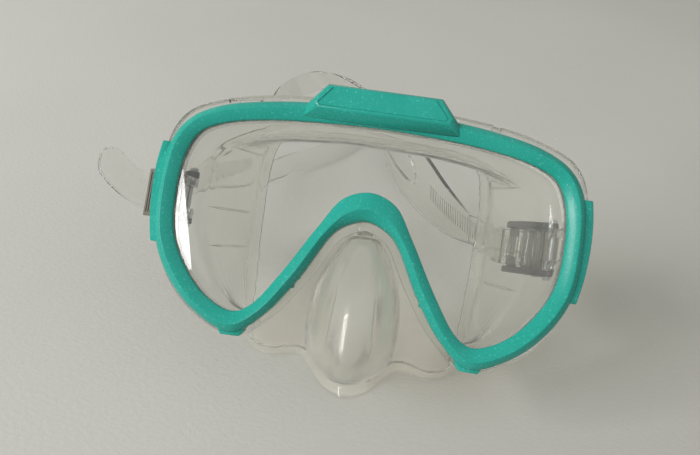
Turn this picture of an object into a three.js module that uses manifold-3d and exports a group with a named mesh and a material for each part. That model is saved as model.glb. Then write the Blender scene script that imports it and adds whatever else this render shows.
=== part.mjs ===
// Snorkel mask: one flat lens, a two-part frame, a soft clear skirt with a nose pocket,
// a split head strap and two quick-adjust swivel buckles.
// Millimetres, +Z up. The mask stands the way it rests on a table: on the lower edge of its
// skirt and on the strap loop behind it, with the lens leaning back.
// Inside the tilted mask group: +X to the wearer's left, +Y backward (depth), +Z up the lens.

import * as THREE from 'three';
import { mergeVertices } from 'three/addons/utils/BufferGeometryUtils.js';
import Module from 'manifold-3d';

const wasm = await Module();
wasm.setup();

// ---------- driving dimensions ----------

const GAP = 0.3;                    // clearance between neighbouring pieces
const LEAN = THREE.MathUtils.degToRad(46);   // lens normal above the horizontal
const LENS_HEIGHT = 73;             // height of the lens centre above the table

// Front view of the rim, right half, from the top centre round to the nose arch.
// [window edge x, z, outer edge x, z, how far the clear frame stands out past the bezel,
// how far the skirt steps inward just behind the frame]
const RIM = [
  [0, 36.3, 0, 43.4, 3.6, 4],
  [20, 35.7, 21, 43.2, 4.0, 4],
  [40, 34.0, 41.5, 41.1, 4.4, 4.5],
  [56, 30.9, 59, 37.2, 4.4, 5.5],
  [65, 26.3, 69.5, 31.4, 5.2, 6],
  [69, 18.5, 75.3, 22.6, 4.2, 6.5],
  [70.5, 3.5, 77.4, 4.5, 1.2, 6.5],
  [68.6, -12, 75.6, -14, 1.6, 6.5],
  [62, -24, 69, -27, 2.6, 6],
  [53, -32.8, 57.5, -38.2, 2.6, 4],
  [43, -36.5, 42.5, -44.2, 2.0, 1],
  [37, -33.5, 32, -36.6, 2.2, 0],
  [28, -21, 21.2, -21.4, 3.0, 0],
  [17, -2, 11.2, -3.6, 3.4, 0],
  [9.5, 9.2, 5.6, 0.6, 3.2, 0],
  [0, 12.7, 0, 2.2, 3.0, 0],
];
const SAMPLES_PER_SPAN = 2;

// Depths of the layers, measured back from the plane of the window's front edge.
const CROWN_Y = -1.8;               // ridge of the bezel
const LIP_BACK_Y = 1.2;             // back of the bezel lip
const LENS_FRONT_Y = LIP_BACK_Y + GAP;
const LENS_THICK = 3;
const LENS_BACK_Y = LENS_FRONT_Y + LENS_THICK;
const BEZEL_BACK_Y = 7;
const FRAME_FLANGE_Y = BEZEL_BACK_Y + GAP;
const FRAME_BACK_Y = 12;
const LENS_OVERLAP = 2.6;           // how far the lens reaches behind the bezel lip
const BEZEL_WALL = 1.6;
const CROWN_AT = 0.45;              // the ridge and the shoulder, as parts of the bezel's width
const SHOULDER_AT = 0.85;
const EDGE_DROP = 0.8;              // the bezel's outer edge starts this far either side of zero
const FRAME_BEVEL = 1.2;

const TAB_FRONT_Y = 0.6;
const TAB_INNER_X = 76;
const TAB_OUTLINE = [               // outer edge of a side tab, [x, z] from the top down
  [78.6, 21.2], [79.6, 13], [79.7, 3], [78.6, -8], [77, -16],
];

// Brow clip: section in depth and height, and its front outline.
const BROW_SECTION = [
  [-2.2, 37.0], [-4.5, 39.8], [-4.5, 47.9], [-2.8, 48.9],
  [6.8, 48.9], [6.8, 43.9], [-2.2, 43.9],
];
const BROW_TOP_HALF = 20.8;
const BROW_BASE_HALF = 26.8;
const BROW_BASE_Z = 42;
const BROW_LOW_Z = 36;
const BROW_HIGH_Z = 49.6;
const BROW_CORNER = 4;
const BROW_REACH = 15;              // half depth of the prism that trims the brow clip

// Skirt: half outline of the sealing edge that meets the face, [x, depth, z]. Its lower part
// lies flat on the table, so those depths follow from the lean.
const onTable = (z) => (LENS_HEIGHT + Math.cos(LEAN) * z) / Math.sin(LEAN);
const SEAL = [
  [0, 44, 46.5],
  [20, 44.5, 46.3],
  [38, 46.5, 43.8],
  [48.5, 50.5, 38],
  [52.5, 56, 27],
  [54, 61, 12],
  [54, 63, -4],
  [53.4, 63.5, -18],
  [52, 61.5, -33],
  [50.3, 55.5, -46],
  [45, onTable(-54.6), -54.6],
  [36, onTable(-58.2), -58.2],
  [22, onTable(-56.8), -56.8],
  [16.5, onTable(-60), -60],
  [10.5, onTable(-65.6), -65.6],
  [0, onTable(-69), -69],
];
const SKIRT_WALL = 2;
const WAIST_Y = 16;
const SKIRT_BOW = 3.5;              // how far the side walls bow inward half way back
const SKIRT_BOW_AT = 0.6;
const SKIRT_OPEN_FRONT = 2;         // the hollow runs this far past the skirt's front and back
const SKIRT_OPEN_BACK = 12;

// Nose pocket: rings from the top down, [z, half width, front depth, back depth].
const NOSE = [
  [-2.8, 5, 7, 18],
  [-6, 8.5, 3, 27],
  [-13, 12.2, -1, 31],
  [-22, 16, -5, 34],
  [-33, 17.6, -8, 36],
  [-43, 17.2, -9, 37],
  [-51, 14, -6, 37],
  [-56, 8, 0, 36],
];
const NOSE_SIDES = 20;

// Buckle: the hinge on the frame, and the swing of each buckle at rest.
const HINGE_X = 74;
const HINGE_Y = 26;
const HINGE_Z = 3.5;
const SWING_LEFT = THREE.MathUtils.degToRad(60);    // outward from straight back
const SWING_RIGHT = THREE.MathUtils.degToRad(-35);  // inward from straight back
const PIN_R = 1.2;
const HOLE_R = PIN_R + GAP;
const EAR_ROOT_X = 73.8;             // the ears leave the back of the frame here
const EAR_ROOT_WIDTH = 3.8;
const EAR_SINK = 1.5;                // how deep the ears start inside the frame
const EAR_NECK_BACK = 7;             // the ears' neck, this far in front of the hinge
const EAR_NECK_HALF = 2;
const EAR_INNER_Z = 4.4;
const EAR_OUTER_Z = 7.9;
const BARREL_R = 3;
const CHEEK_INNER_Z = EAR_OUTER_Z + GAP;
const CHEEK_OUTER_Z = 10.7;
const CHEEK_LOWER = [[8, -6.4], [17, -6.4], [20, -4], [20, 1], [15, 4.6], [7.2, 7.1]];
const LEVER_BOSS_R = 1.9;
const LEVER_BOSS_START = 0.9;        // radians, where the boss outline leaves the cheek's top
const BAR_LOW = [16.4, -3];
const BAR_HIGH = [19, 1];
const PIN_HEAD_R = 2.1;
const PIN_HEAD_THICK = 1.2;
const ROLLER_AT = [10.5, -1];
const ROLLER_R = 2.4;
const SMALL_PIN_R = 0.9;
const SMALL_HOLE_R = SMALL_PIN_R + GAP;
const LEVER_PIN_AT = [5.5, 5.4];
const LEVER_PLATE_HALF = 9.8;
const LEVER_CORE = [                 // the part between the cheeks, with the tooth that holds the strap
  [1.2, 7.2], [3.4, 3.9], [7.4, 3.9], [8.6, 5.4], [9.8, 5.2], [10.5, 4.0], [11.2, 5.2], [15.6, 5.4],
  [15.6, 7.8], [1.2, 8.0],
];
const LEVER_COVER = [                // the grey plate on top that is pressed
  [0.6, 7.7], [16.4, 7.4], [16.8, 8.2], [15.6, 9.0], [9, 9.5], [2, 9.9], [0.2, 9.2],
];
const CUT_SPARE = 1;                 // cutting tools run this far past what they cut
const PIN_SIDES = 16;
const ARC_STEPS = 6;

// Strap, in the resting frame: lower and upper edge of the split yoke, from the left buckle
// round the back to the right buckle.
const STRAP_THICK = 2;
const STRAP_WIDTH = 15;
const BAND_WIDTH = 13;
const YOKE_STATIONS = 43;
const SLOT_FROM = 6;
const SLOT_TO = 35;
const SLOT_TAPER = 3;                // stations over which the slot's ends narrow
const WRAP_STEPS = 8;
const ARM_STEPS = 14;
const TAIL_STEPS = 8;
const ARM_CLEARANCE = 0.5;
const STRAP_EXIT_X = 20.5;           // where the strap enters and leaves a buckle
const YOKE_LOWER = [
  [-79, 60, 30], [-72, 80, 17], [-62, 100, 7], [-49, 120, 2], [-34, 133, 1], [-20, 149, 1],
  [-10, 166, 1], [-3, 174, 1], [2, 163, 1], [5, 144, 1], [12, 124, 1], [22, 107, 1.5], [33, 91, 3],
  [43, 76, 8], [51.5, 63, 16],
];
const YOKE_UPPER = [
  [-79, 67, 43], [-73, 81, 44], [-67, 98, 45], [-66, 122, 45], [-65, 146, 44], [-58, 165, 43],
  [-47, 175, 42.5], [-33, 174, 42], [-19, 164, 42], [-7, 150, 42.5], [4, 132, 43], [14, 114, 44],
  [25, 94, 43], [36, 79, 38], [49, 69, 30],
];
const ARM_LEFT = [[-83, 56, 38.5], [-90, 49, 40], [-95, 40, 42.5], [-94.5, 33.5, 45]];
const ARM_RIGHT = [[55.5, 57, 28], [57.3, 48.5, 32.8], [57.2, 41, 37.8], [57.5, 35, 42.6]];
const TAIL_LEFT = [[-102, 31, 49.5], [-113, 38, 50], [-124, 47, 53.5]];
const TAIL_RIGHT = [[63, 40, 38.5], [61.5, 47, 33.5], [60.5, 54, 29]];

// ---------- materials ----------

function plastic(colour, roughness) {
  return new THREE.MeshStandardMaterial({ color: colour, roughness: roughness, metalness: 0 });
}

function clearMaterial(colour, roughness, opacity) {
  const material = plastic(colour, roughness);
  material.transparent = true;
  material.opacity = opacity;
  return material;
}

const tealGloss = () => plastic(0x329a8d, 0.28);
const clearPolycarbonate = () => clearMaterial(0xe9ecea, 0.12, 0.4);
const temperedGlass = () => clearMaterial(0xf2f6f4, 0.03, 0.2);
const clearSilicone = () => clearMaterial(0xdedcd4, 0.35, 0.5);
const blackPlastic = () => plastic(0x17181a, 0.45);
const greyPlastic = () => plastic(0x6e695f, 0.4);
function steel() {
  return new THREE.MeshStandardMaterial({ color: 0xb9bcbe, roughness: 0.3, metalness: 1 });
}

// ---------- geometry helpers ----------

function volumeSign(positions, indices) {
  const a = new THREE.Vector3();
  const b = new THREE.Vector3();
  const c = new THREE.Vector3();
  let sum = 0;
  for (let i = 0; i < indices.length; i += 3) {
    a.fromArray(positions, indices[i] * 3);
    b.fromArray(positions, indices[i + 1] * 3);
    c.fromArray(positions, indices[i + 2] * 3);
    sum += a.dot(b.cross(c));
  }
  return Math.sign(sum);
}

function geometryFrom(points, triangles) {
  const positions = points.flatMap((point) => [point.x, point.y, point.z]);
  if (volumeSign(positions, triangles) < 0) {
    triangles.reverse();
  }
  const geometry = new THREE.BufferGeometry();
  geometry.setAttribute('position', new THREE.Float32BufferAttribute(positions, 3));
  geometry.setIndex(triangles);
  geometry.computeVertexNormals();
  return geometry;
}

function capTriangles(ring, offset, flat, reversed) {
  const faces = THREE.ShapeUtils.triangulateShape(ring.map(flat), []);
  return faces.flatMap((face) => {
    const corners = face.map((corner) => corner + offset);
    return reversed ? corners.reverse() : corners;
  });
}

// Skins a row of rings, each a closed loop of the same number of points. A closed row makes a
// hoop; an open one is capped at both ends. The caps are triangulated as seen along capAxis.
function loft(rings, closedRow, capAxis = 'y') {
  const count = rings[0].length;
  const points = rings.flat();
  const triangles = [];
  const rows = closedRow ? rings.length : rings.length - 1;
  for (let row = 0; row < rows; row += 1) {
    const next = (row + 1) % rings.length;
    for (let i = 0; i < count; i += 1) {
      const j = (i + 1) % count;
      const a = row * count + i;
      const b = row * count + j;
      const c = next * count + j;
      const d = next * count + i;
      triangles.push(a, b, c, a, c, d);
    }
  }
  if (!closedRow) {
    const flat = (point) => (capAxis === 'y'
      ? new THREE.Vector2(point.x, point.z)
      : new THREE.Vector2(point.x, point.y));
    const forward = THREE.ShapeUtils.area(rings[0].map(flat)) > 0;
    triangles.push(...capTriangles(rings[0], 0, flat, forward));
    triangles.push(...capTriangles(rings.at(-1), (rings.length - 1) * count, flat, !forward));
  }
  return geometryFrom(points, triangles);
}

function toSolid(geometry) {
  const bare = geometry.clone();
  bare.deleteAttribute('normal');
  bare.deleteAttribute('uv');
  const merged = mergeVertices(bare, 1e-4);
  return new wasm.Manifold(new wasm.Mesh({
    numProp: 3,
    vertProperties: new Float32Array(merged.attributes.position.array),
    triVerts: new Uint32Array(merged.index.array),
  }));
}

function toGeometry(solid) {
  const mesh = solid.getMesh();
  const geometry = new THREE.BufferGeometry();
  geometry.setAttribute('position', new THREE.BufferAttribute(mesh.vertProperties.slice(), 3));
  geometry.setIndex(new THREE.BufferAttribute(mesh.triVerts.slice(), 1));
  geometry.computeVertexNormals();
  return geometry;
}

function placed(geometry, matrix) {
  return toSolid(geometry.clone().applyMatrix4(matrix));
}

function joined(solids) {
  return solids.reduce((sum, solid) => sum.add(solid));
}

// A plate lying in the x-y plane, from z = low to z = high.
function plate(shape, low, high) {
  const geometry = new THREE.ExtrudeGeometry(shape, {
    depth: high - low, bevelEnabled: false, curveSegments: ARC_STEPS,
  });
  return geometry.translate(0, 0, low);
}

function polygon(points) {
  return new THREE.Shape(points.map(([x, y]) => new THREE.Vector2(x, y)));
}

// A rod along z, centred on (x, y).
function rod(radius, low, high, x = 0, y = 0) {
  const geometry = new THREE.CylinderGeometry(radius, radius, high - low, PIN_SIDES);
  geometry.rotateX(Math.PI / 2);
  return geometry.translate(x, y, (low + high) / 2);
}

function box(low, high) {
  const size = high.map((value, i) => value - low[i]);
  const geometry = new THREE.BoxGeometry(...size);
  return geometry.translate(...low.map((value, i) => value + size[i] / 2));
}

function namedMesh(name, geometry, material) {
  const mesh = new THREE.Mesh(geometry, material);
  mesh.name = name;
  return mesh;
}

// ---------- the rim ----------

function mirrored(half, mirror) {
  const back = half.slice(1, -1).reverse().map(mirror);
  return [...half, ...back];
}

function closedCurve(points) {
  return new THREE.CatmullRomCurve3(points, true, 'centripetal');
}

const RIM_LOOP = mirrored(RIM, ([ix, iz, ox, oz, lip, waist]) => [-ix, iz, -ox, oz, lip, waist]);
const RIM_SAMPLES = RIM_LOOP.length * SAMPLES_PER_SPAN;

// Stations round the rim: the window edge, the direction outward, the bezel's width there and
// how far the clear frame stands out past it.
function rimStations() {
  const inner = closedCurve(RIM_LOOP.map(([x, z]) => new THREE.Vector3(x, 0, z)));
  const outer = closedCurve(RIM_LOOP.map((row) => new THREE.Vector3(row[2], 0, row[3])));
  const steps = closedCurve(RIM_LOOP.map((row, i) => new THREE.Vector3(i, row[4], row[5])));
  return Array.from({ length: RIM_SAMPLES }, (_, i) => {
    const t = i / RIM_SAMPLES;
    const edge = inner.getPoint(t);
    const out = outer.getPoint(t).sub(edge);
    const { y: lip, z: waist } = steps.getPoint(t);
    return { edge: edge, out: out.clone().normalize(), width: out.length(), lip: lip, waist: waist };
  });
}

const STATIONS = rimStations();

function stationPoint(station, across, depth) {
  const point = station.edge.clone().addScaledVector(station.out, across);
  return point.setY(depth);
}

// Runs a section round the rim; section(station) lists [distance out from the window edge, depth].
function rimHoop(section) {
  const rings = STATIONS.map((station) => section(station).map(([a, y]) => stationPoint(station, a, y)));
  return loft(rings, true);
}

function rimOutline(across, depth) {
  return STATIONS.map((station) => stationPoint(station, across, depth));
}

function makeLens() {
  const rings = [rimOutline(LENS_OVERLAP, LENS_FRONT_Y), rimOutline(LENS_OVERLAP, LENS_BACK_Y)];
  return namedMesh('lens', loft(rings, false), temperedGlass());
}

function makeBezel() {
  const hoop = rimHoop(({ width }) => [
    [0, 0], [CROWN_AT * width, CROWN_Y], [SHOULDER_AT * width, -EDGE_DROP], [width, EDGE_DROP],
    [width, BEZEL_BACK_Y], [width - BEZEL_WALL, BEZEL_BACK_Y],
    [width - BEZEL_WALL, LIP_BACK_Y], [0, LIP_BACK_Y],
  ]);
  const inner = [[TAB_INNER_X, TAB_OUTLINE.at(-1)[1]], [TAB_INNER_X, TAB_OUTLINE[0][1]]];
  const tabs = [1, -1].map((side) => {
    const shape = polygon([...TAB_OUTLINE, ...inner].map(([x, z]) => [side * x, -z]));
    return placed(plate(shape, TAB_FRONT_Y, BEZEL_BACK_Y), new THREE.Matrix4().makeRotationX(-Math.PI / 2));
  });
  return namedMesh('bezel', toGeometry(joined([toSolid(hoop), ...tabs])), tealGloss());
}

function makeBrowClip() {
  const profile = new THREE.ExtrudeGeometry(polygon(BROW_SECTION), {
    depth: 2 * BROW_BASE_HALF, bevelEnabled: false,
  });
  // section x, y, extrusion -> depth, height, width
  const turn = new THREE.Matrix4().makeBasis(
    new THREE.Vector3(0, 1, 0),
    new THREE.Vector3(0, 0, 1),
    new THREE.Vector3(1, 0, 0),
  );
  turn.setPosition(-BROW_BASE_HALF, 0, 0);
  const front = polygon([
    [BROW_CORNER - BROW_BASE_HALF, BROW_LOW_Z], [BROW_BASE_HALF - BROW_CORNER, BROW_LOW_Z],
    [BROW_BASE_HALF, BROW_BASE_Z], [BROW_TOP_HALF, BROW_HIGH_Z],
    [-BROW_TOP_HALF, BROW_HIGH_Z], [-BROW_BASE_HALF, BROW_BASE_Z],
  ]);
  const prism = new THREE.ExtrudeGeometry(front, { depth: 2 * BROW_REACH, bevelEnabled: false });
  const stand = new THREE.Matrix4().makeRotationX(Math.PI / 2).setPosition(0, BROW_REACH, 0);
  const solid = placed(profile, turn).intersect(placed(prism, stand));
  return namedMesh('brow_clip', toGeometry(solid), tealGloss());
}

// ---------- frame with the buckle ears ----------

function earSolids(side) {
  const shape = new THREE.Shape();
  const root = FRAME_BACK_Y - EAR_SINK;
  const neck = HINGE_Y - EAR_NECK_BACK;
  shape.moveTo(EAR_ROOT_X, root);
  shape.lineTo(EAR_ROOT_X + EAR_ROOT_WIDTH, root);
  shape.lineTo(HINGE_X + EAR_NECK_HALF, neck);
  shape.lineTo(HINGE_X + BARREL_R, HINGE_Y);
  shape.absarc(HINGE_X, HINGE_Y, BARREL_R, 0, Math.PI, false);
  shape.lineTo(HINGE_X - EAR_NECK_HALF, neck);
  shape.lineTo(EAR_ROOT_X, root + EAR_SINK);
  shape.closePath();
  const mirror = new THREE.Matrix4().makeRotationY(side > 0 ? 0 : Math.PI);
  const spans = side > 0
    ? [[HINGE_Z + EAR_INNER_Z, HINGE_Z + EAR_OUTER_Z], [HINGE_Z - EAR_OUTER_Z, HINGE_Z - EAR_INNER_Z]]
    : [[-HINGE_Z - EAR_OUTER_Z, -HINGE_Z - EAR_INNER_Z], [EAR_INNER_Z - HINGE_Z, EAR_OUTER_Z - HINGE_Z]];
  return spans.map(([low, high]) => placed(plate(shape, low, high), mirror));
}

function makeFrame() {
  const front = LENS_OVERLAP + GAP;
  const hoop = rimHoop(({ width, lip }) => [
    [front, LENS_FRONT_Y], [width - BEZEL_WALL - GAP, LENS_FRONT_Y],
    [width - BEZEL_WALL - GAP, FRAME_FLANGE_Y], [width + lip, FRAME_FLANGE_Y],
    [width + lip, FRAME_BACK_Y - FRAME_BEVEL], [width + lip - FRAME_BEVEL, FRAME_BACK_Y],
    [front, FRAME_BACK_Y],
  ]);
  let solid = joined([toSolid(hoop), ...earSolids(1), ...earSolids(-1)]);
  const reach = EAR_OUTER_Z + CUT_SPARE;
  for (const side of [1, -1]) {
    const hole = rod(HOLE_R, HINGE_Z - reach, HINGE_Z + reach, side * HINGE_X, HINGE_Y);
    solid = solid.subtract(toSolid(hole));
  }
  return namedMesh('frame', toGeometry(solid), clearPolycarbonate());
}

// ---------- skirt ----------

function sealOutline(inset) {
  const loop = mirrored(SEAL, ([x, y, z]) => [-x, y, z]);
  const curve = closedCurve(loop.map((point) => new THREE.Vector3(...point)));
  return STATIONS.map((station, i) => {
    const t = i / RIM_SAMPLES;
    const tangent = curve.getTangent(t);
    const inward = new THREE.Vector3(tangent.z, 0, -tangent.x).normalize();
    return curve.getPoint(t).addScaledVector(inward, inset);
  });
}

// The ring half way back between the skirt's waist and its sealing edge, bowed inward.
function bowedRing(waist, seal) {
  return waist.map((point, i) => {
    const mixed = point.clone().lerp(seal[i], SKIRT_BOW_AT);
    const inward = new THREE.Vector3(mixed.x, 0, mixed.z).setLength(SKIRT_BOW);
    return mixed.sub(inward);
  });
}

function skirtBody(inset, frontY, endY) {
  const collarFront = rimOutline(LENS_OVERLAP - inset, frontY);
  const collarBack = rimOutline(LENS_OVERLAP - inset, FRAME_BACK_Y + GAP);
  const waist = STATIONS.map((station) => {
    return stationPoint(station, LENS_OVERLAP - station.waist - inset, WAIST_Y);
  });
  const seal = sealOutline(inset);
  const rings = [collarFront, collarBack, waist, bowedRing(waist, seal), seal];
  if (endY > 0) {
    rings.push(seal.map((point) => point.clone().add(new THREE.Vector3(0, endY, 0))));
  }
  return loft(rings, false);
}

function noseRing([z, half, front, back], inset) {
  const mid = (front + back) / 2;
  return Array.from({ length: NOSE_SIDES }, (_, i) => {
    const angle = 2 * Math.PI * i / NOSE_SIDES;
    const x = (half - inset) * Math.cos(angle);
    const y = mid + ((back - front) / 2 - inset) * Math.sin(angle);
    return new THREE.Vector3(x, y, z);
  });
}

function nosePocket(inset) {
  const rings = NOSE.map((row) => noseRing(row, inset));
  const lift = [-inset, ...Array(NOSE.length - 2).fill(0), inset];
  rings.forEach((ring, i) => ring.forEach((point) => point.setZ(point.z + lift[i])));
  return loft(rings, false, 'z');
}

function makeSkirt() {
  const outer = toSolid(skirtBody(0, LENS_BACK_Y + GAP, 0)).add(toSolid(nosePocket(0)));
  const hollow = skirtBody(SKIRT_WALL, LENS_BACK_Y - SKIRT_OPEN_FRONT, SKIRT_OPEN_BACK);
  const inner = toSolid(hollow).add(toSolid(nosePocket(SKIRT_WALL)));
  return namedMesh('skirt', toGeometry(outer.subtract(inner)), clearSilicone());
}

// ---------- buckles ----------
// Each buckle is drawn in its own frame: origin on the hinge, +X along the strap away from the
// hinge, +Y to the outside of the mask, Z along the hinge pin.

function hingePin() {
  const top = CHEEK_OUTER_Z + GAP;
  const end = top + PIN_HEAD_THICK;
  const profile = [
    [0, -end], [PIN_HEAD_R, -end], [PIN_HEAD_R, -top], [PIN_R, -top],
    [PIN_R, top], [PIN_HEAD_R, top], [PIN_HEAD_R, end], [0, end],
  ].map(([r, z]) => new THREE.Vector2(r, z));
  return new THREE.LatheGeometry(profile, PIN_SIDES).rotateX(Math.PI / 2);
}

function cheekShape() {
  const shape = new THREE.Shape();
  shape.moveTo(0, -BARREL_R);
  CHEEK_LOWER.forEach(([x, y]) => shape.lineTo(x, y));
  shape.absarc(...LEVER_PIN_AT, LEVER_BOSS_R, LEVER_BOSS_START, Math.PI, false);
  shape.lineTo(0, BARREL_R);
  shape.absarc(0, 0, BARREL_R, Math.PI / 2, 1.5 * Math.PI, false);
  return shape;
}

function buckleBody() {
  const top = toSolid(plate(cheekShape(), CHEEK_INNER_Z, CHEEK_OUTER_Z));
  const bottom = toSolid(plate(cheekShape(), -CHEEK_OUTER_Z, -CHEEK_INNER_Z));
  const bar = toSolid(box([...BAR_LOW, -CHEEK_OUTER_Z], [...BAR_HIGH, CHEEK_OUTER_Z]));
  const reach = CHEEK_OUTER_Z + CUT_SPARE;
  const holes = joined([
    toSolid(rod(HOLE_R, -reach, reach)),
    toSolid(rod(SMALL_HOLE_R, -reach, reach, ...ROLLER_AT)),
    toSolid(rod(SMALL_HOLE_R, -reach, reach, ...LEVER_PIN_AT)),
  ]);
  return toGeometry(joined([top, bottom, bar]).subtract(holes));
}

function roller() {
  const half = CHEEK_INNER_Z - GAP;
  const profile = [
    [SMALL_HOLE_R, -half], [ROLLER_R, -half], [ROLLER_R, half], [SMALL_HOLE_R, half],
    [SMALL_HOLE_R, -half],
  ].map(([r, z]) => new THREE.Vector2(r, z));
  const geometry = new THREE.LatheGeometry(profile, PIN_SIDES).rotateX(Math.PI / 2);
  return geometry.translate(...ROLLER_AT, 0);
}

function smallPin([x, y]) {
  return rod(SMALL_PIN_R, -CHEEK_OUTER_Z, CHEEK_OUTER_Z, x, y);
}

function lever() {
  const half = CHEEK_INNER_Z - GAP;
  const reach = half + CUT_SPARE;
  const hole = toSolid(rod(SMALL_HOLE_R, -reach, reach, ...LEVER_PIN_AT));
  const core = toSolid(plate(polygon(LEVER_CORE), -half, half)).subtract(hole);
  const cover = toSolid(plate(polygon(LEVER_COVER), -LEVER_PLATE_HALF, LEVER_PLATE_HALF));
  return toGeometry(core.add(cover));
}

function buckleFrame(side, swing) {
  const frame = new THREE.Group();
  frame.position.set(side * HINGE_X, HINGE_Y, HINGE_Z);
  frame.rotation.order = 'ZYX';
  frame.rotation.set(side > 0 ? Math.PI : 0, 0, Math.PI / 2 - side * swing);
  return frame;
}

function fillBuckle(frame, label) {
  frame.add(namedMesh(`hinge_pin_${label}`, hingePin(), steel()));
  frame.add(namedMesh(`buckle_body_${label}`, buckleBody(), blackPlastic()));
  frame.add(namedMesh(`roller_${label}`, roller(), blackPlastic()));
  frame.add(namedMesh(`roller_pin_${label}`, smallPin(ROLLER_AT), steel()));
  frame.add(namedMesh(`lever_${label}`, lever(), greyPlastic()));
  frame.add(namedMesh(`lever_pin_${label}`, smallPin(LEVER_PIN_AT), steel()));
}

// ---------- strap ----------

// A flat band through stations { at, across, half }: the middle, the unit direction across the
// band and half its width there.
function band(stations, thickness) {
  const rings = stations.map((station, i) => {
    const before = stations[Math.max(i - 1, 0)].at;
    const after = stations[Math.min(i + 1, stations.length - 1)].at;
    const along = after.clone().sub(before).normalize();
    const normal = along.cross(station.across).normalize().multiplyScalar(thickness / 2);
    const reach = station.across.clone().multiplyScalar(station.half);
    return [
      station.at.clone().add(reach).add(normal), station.at.clone().sub(reach).add(normal),
      station.at.clone().sub(reach).sub(normal), station.at.clone().add(reach).sub(normal),
    ];
  });
  const count = 4;
  const points = rings.flat();
  const triangles = [];
  for (let row = 0; row < rings.length - 1; row += 1) {
    for (let i = 0; i < count; i += 1) {
      const a = row * count + i;
      const b = row * count + (i + 1) % count;
      triangles.push(a, b, b + count, a, b + count, a + count);
    }
  }
  const last = (rings.length - 1) * count;
  triangles.push(0, 2, 1, 0, 3, 2, last, last + 1, last + 2, last, last + 2, last + 3);
  return geometryFrom(points, triangles);
}

function edgeStations(lower, upper, count) {
  const low = new THREE.CatmullRomCurve3(lower.map((point) => new THREE.Vector3(...point)));
  const high = new THREE.CatmullRomCurve3(upper.map((point) => new THREE.Vector3(...point)));
  return Array.from({ length: count }, (_, i) => {
    const a = low.getPoint(i / (count - 1));
    const b = high.getPoint(i / (count - 1));
    const across = b.clone().sub(a);
    const half = across.length() / 2;
    return { at: a.add(b).multiplyScalar(0.5), across: across.normalize(), half: half };
  });
}

function makeYoke() {
  const stations = edgeStations(YOKE_LOWER, YOKE_UPPER, YOKE_STATIONS);
  const slot = stations.slice(SLOT_FROM, SLOT_TO).map((station, i, all) => {
    const taper = Math.min(1, (i + 0.5) / SLOT_TAPER, (all.length - i - 0.5) / SLOT_TAPER);
    return { ...station, half: Math.max(1, (station.half - BAND_WIDTH) * taper) };
  });
  const solid = toSolid(band(stations, STRAP_THICK)).subtract(toSolid(band(slot, 4 * STRAP_THICK)));
  return namedMesh('strap_yoke', toGeometry(solid), clearSilicone());
}

// The arm runs from the yoke into the buckle, round the roller and out again as the free tail.
function makeArm(label, frame, yokeEnd, between, tail) {
  const toWorld = (x, y) => frame.localToWorld(new THREE.Vector3(x, y, 0));
  const hingeUp = new THREE.Vector3(0, 0, 1).transformDirection(mask.matrixWorld);
  const wrapR = ROLLER_R + GAP + STRAP_THICK / 2;
  const wrap = Array.from({ length: WRAP_STEPS + 1 }, (_, i) => {
    const angle = -Math.PI / 2 - Math.PI * i / WRAP_STEPS;
    return toWorld(ROLLER_AT[0] + wrapR * Math.cos(angle), ROLLER_AT[1] + wrapR * Math.sin(angle));
  });
  const entry = toWorld(STRAP_EXIT_X, ROLLER_AT[1] - wrapR);
  const exit = toWorld(STRAP_EXIT_X, ROLLER_AT[1] + wrapR);
  const start = yokeEnd.at.clone();
  const into = new THREE.CatmullRomCurve3([
    start, ...between.map((point) => new THREE.Vector3(...point)), entry,
  ]).getPoints(ARM_STEPS);
  const away = new THREE.CatmullRomCurve3([
    exit, ...tail.map((point) => new THREE.Vector3(...point)),
  ]).getPoints(TAIL_STEPS);
  const centres = [...into, ...wrap, ...away];
  const stations = centres.map((at, i) => {
    const part = Math.min(1, i / (into.length - 1));
    const across = yokeEnd.across.clone().lerp(hingeUp, part).normalize();
    return { at: at, across: across, half: STRAP_WIDTH / 2 };
  });
  // The arm starts a little way off the end of the yoke, clear of it.
  const step = stations[1].at.clone().sub(start).setLength(ARM_CLEARANCE);
  stations[0].at = start.add(step);
  return namedMesh(`strap_arm_${label}`, band(stations, STRAP_THICK), clearSilicone());
}

function yokeEndAt(index) {
  const low = new THREE.Vector3(...YOKE_LOWER.at(index));
  const high = new THREE.Vector3(...YOKE_UPPER.at(index));
  return { at: low.clone().add(high).multiplyScalar(0.5), across: high.sub(low).normalize() };
}

// ---------- assembly ----------

const group = new THREE.Group();
const mask = new THREE.Group();
mask.rotation.x = -LEAN;
mask.position.z = LENS_HEIGHT;
group.add(mask);
mask.add(makeLens(), makeBezel(), makeBrowClip(), makeFrame(), makeSkirt());

const buckleLeft = buckleFrame(-1, SWING_LEFT);
const buckleRight = buckleFrame(1, SWING_RIGHT);
mask.add(buckleLeft, buckleRight);
fillBuckle(buckleLeft, 'left');
fillBuckle(buckleRight, 'right');
group.updateMatrixWorld(true);

group.add(makeYoke());
group.add(makeArm('left', buckleLeft, yokeEndAt(0), ARM_LEFT, TAIL_LEFT));
group.add(makeArm('right', buckleRight, yokeEndAt(-1), ARM_RIGHT, TAIL_RIGHT));

// The origin is under the middle of the whole part, on the table.
const extent = new THREE.Box3().setFromObject(group, true);
const middle = extent.getCenter(new THREE.Vector3());
group.position.set(-middle.x, -middle.y, -extent.min.z);

export default group;
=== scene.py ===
"""Looks for the snorkel mask, built in Blender 4.5 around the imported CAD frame.

Most shapes are drawn in the mask's own axes, in millimetres: x to the wearer's left, depth
backward from the lens, and up along the lens. place() takes those to the row frame in metres.
"""
import math

import bmesh
import bpy
import numpy as np
from mathutils import Matrix, Vector
from mathutils.bvhtree import BVHTree


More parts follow.
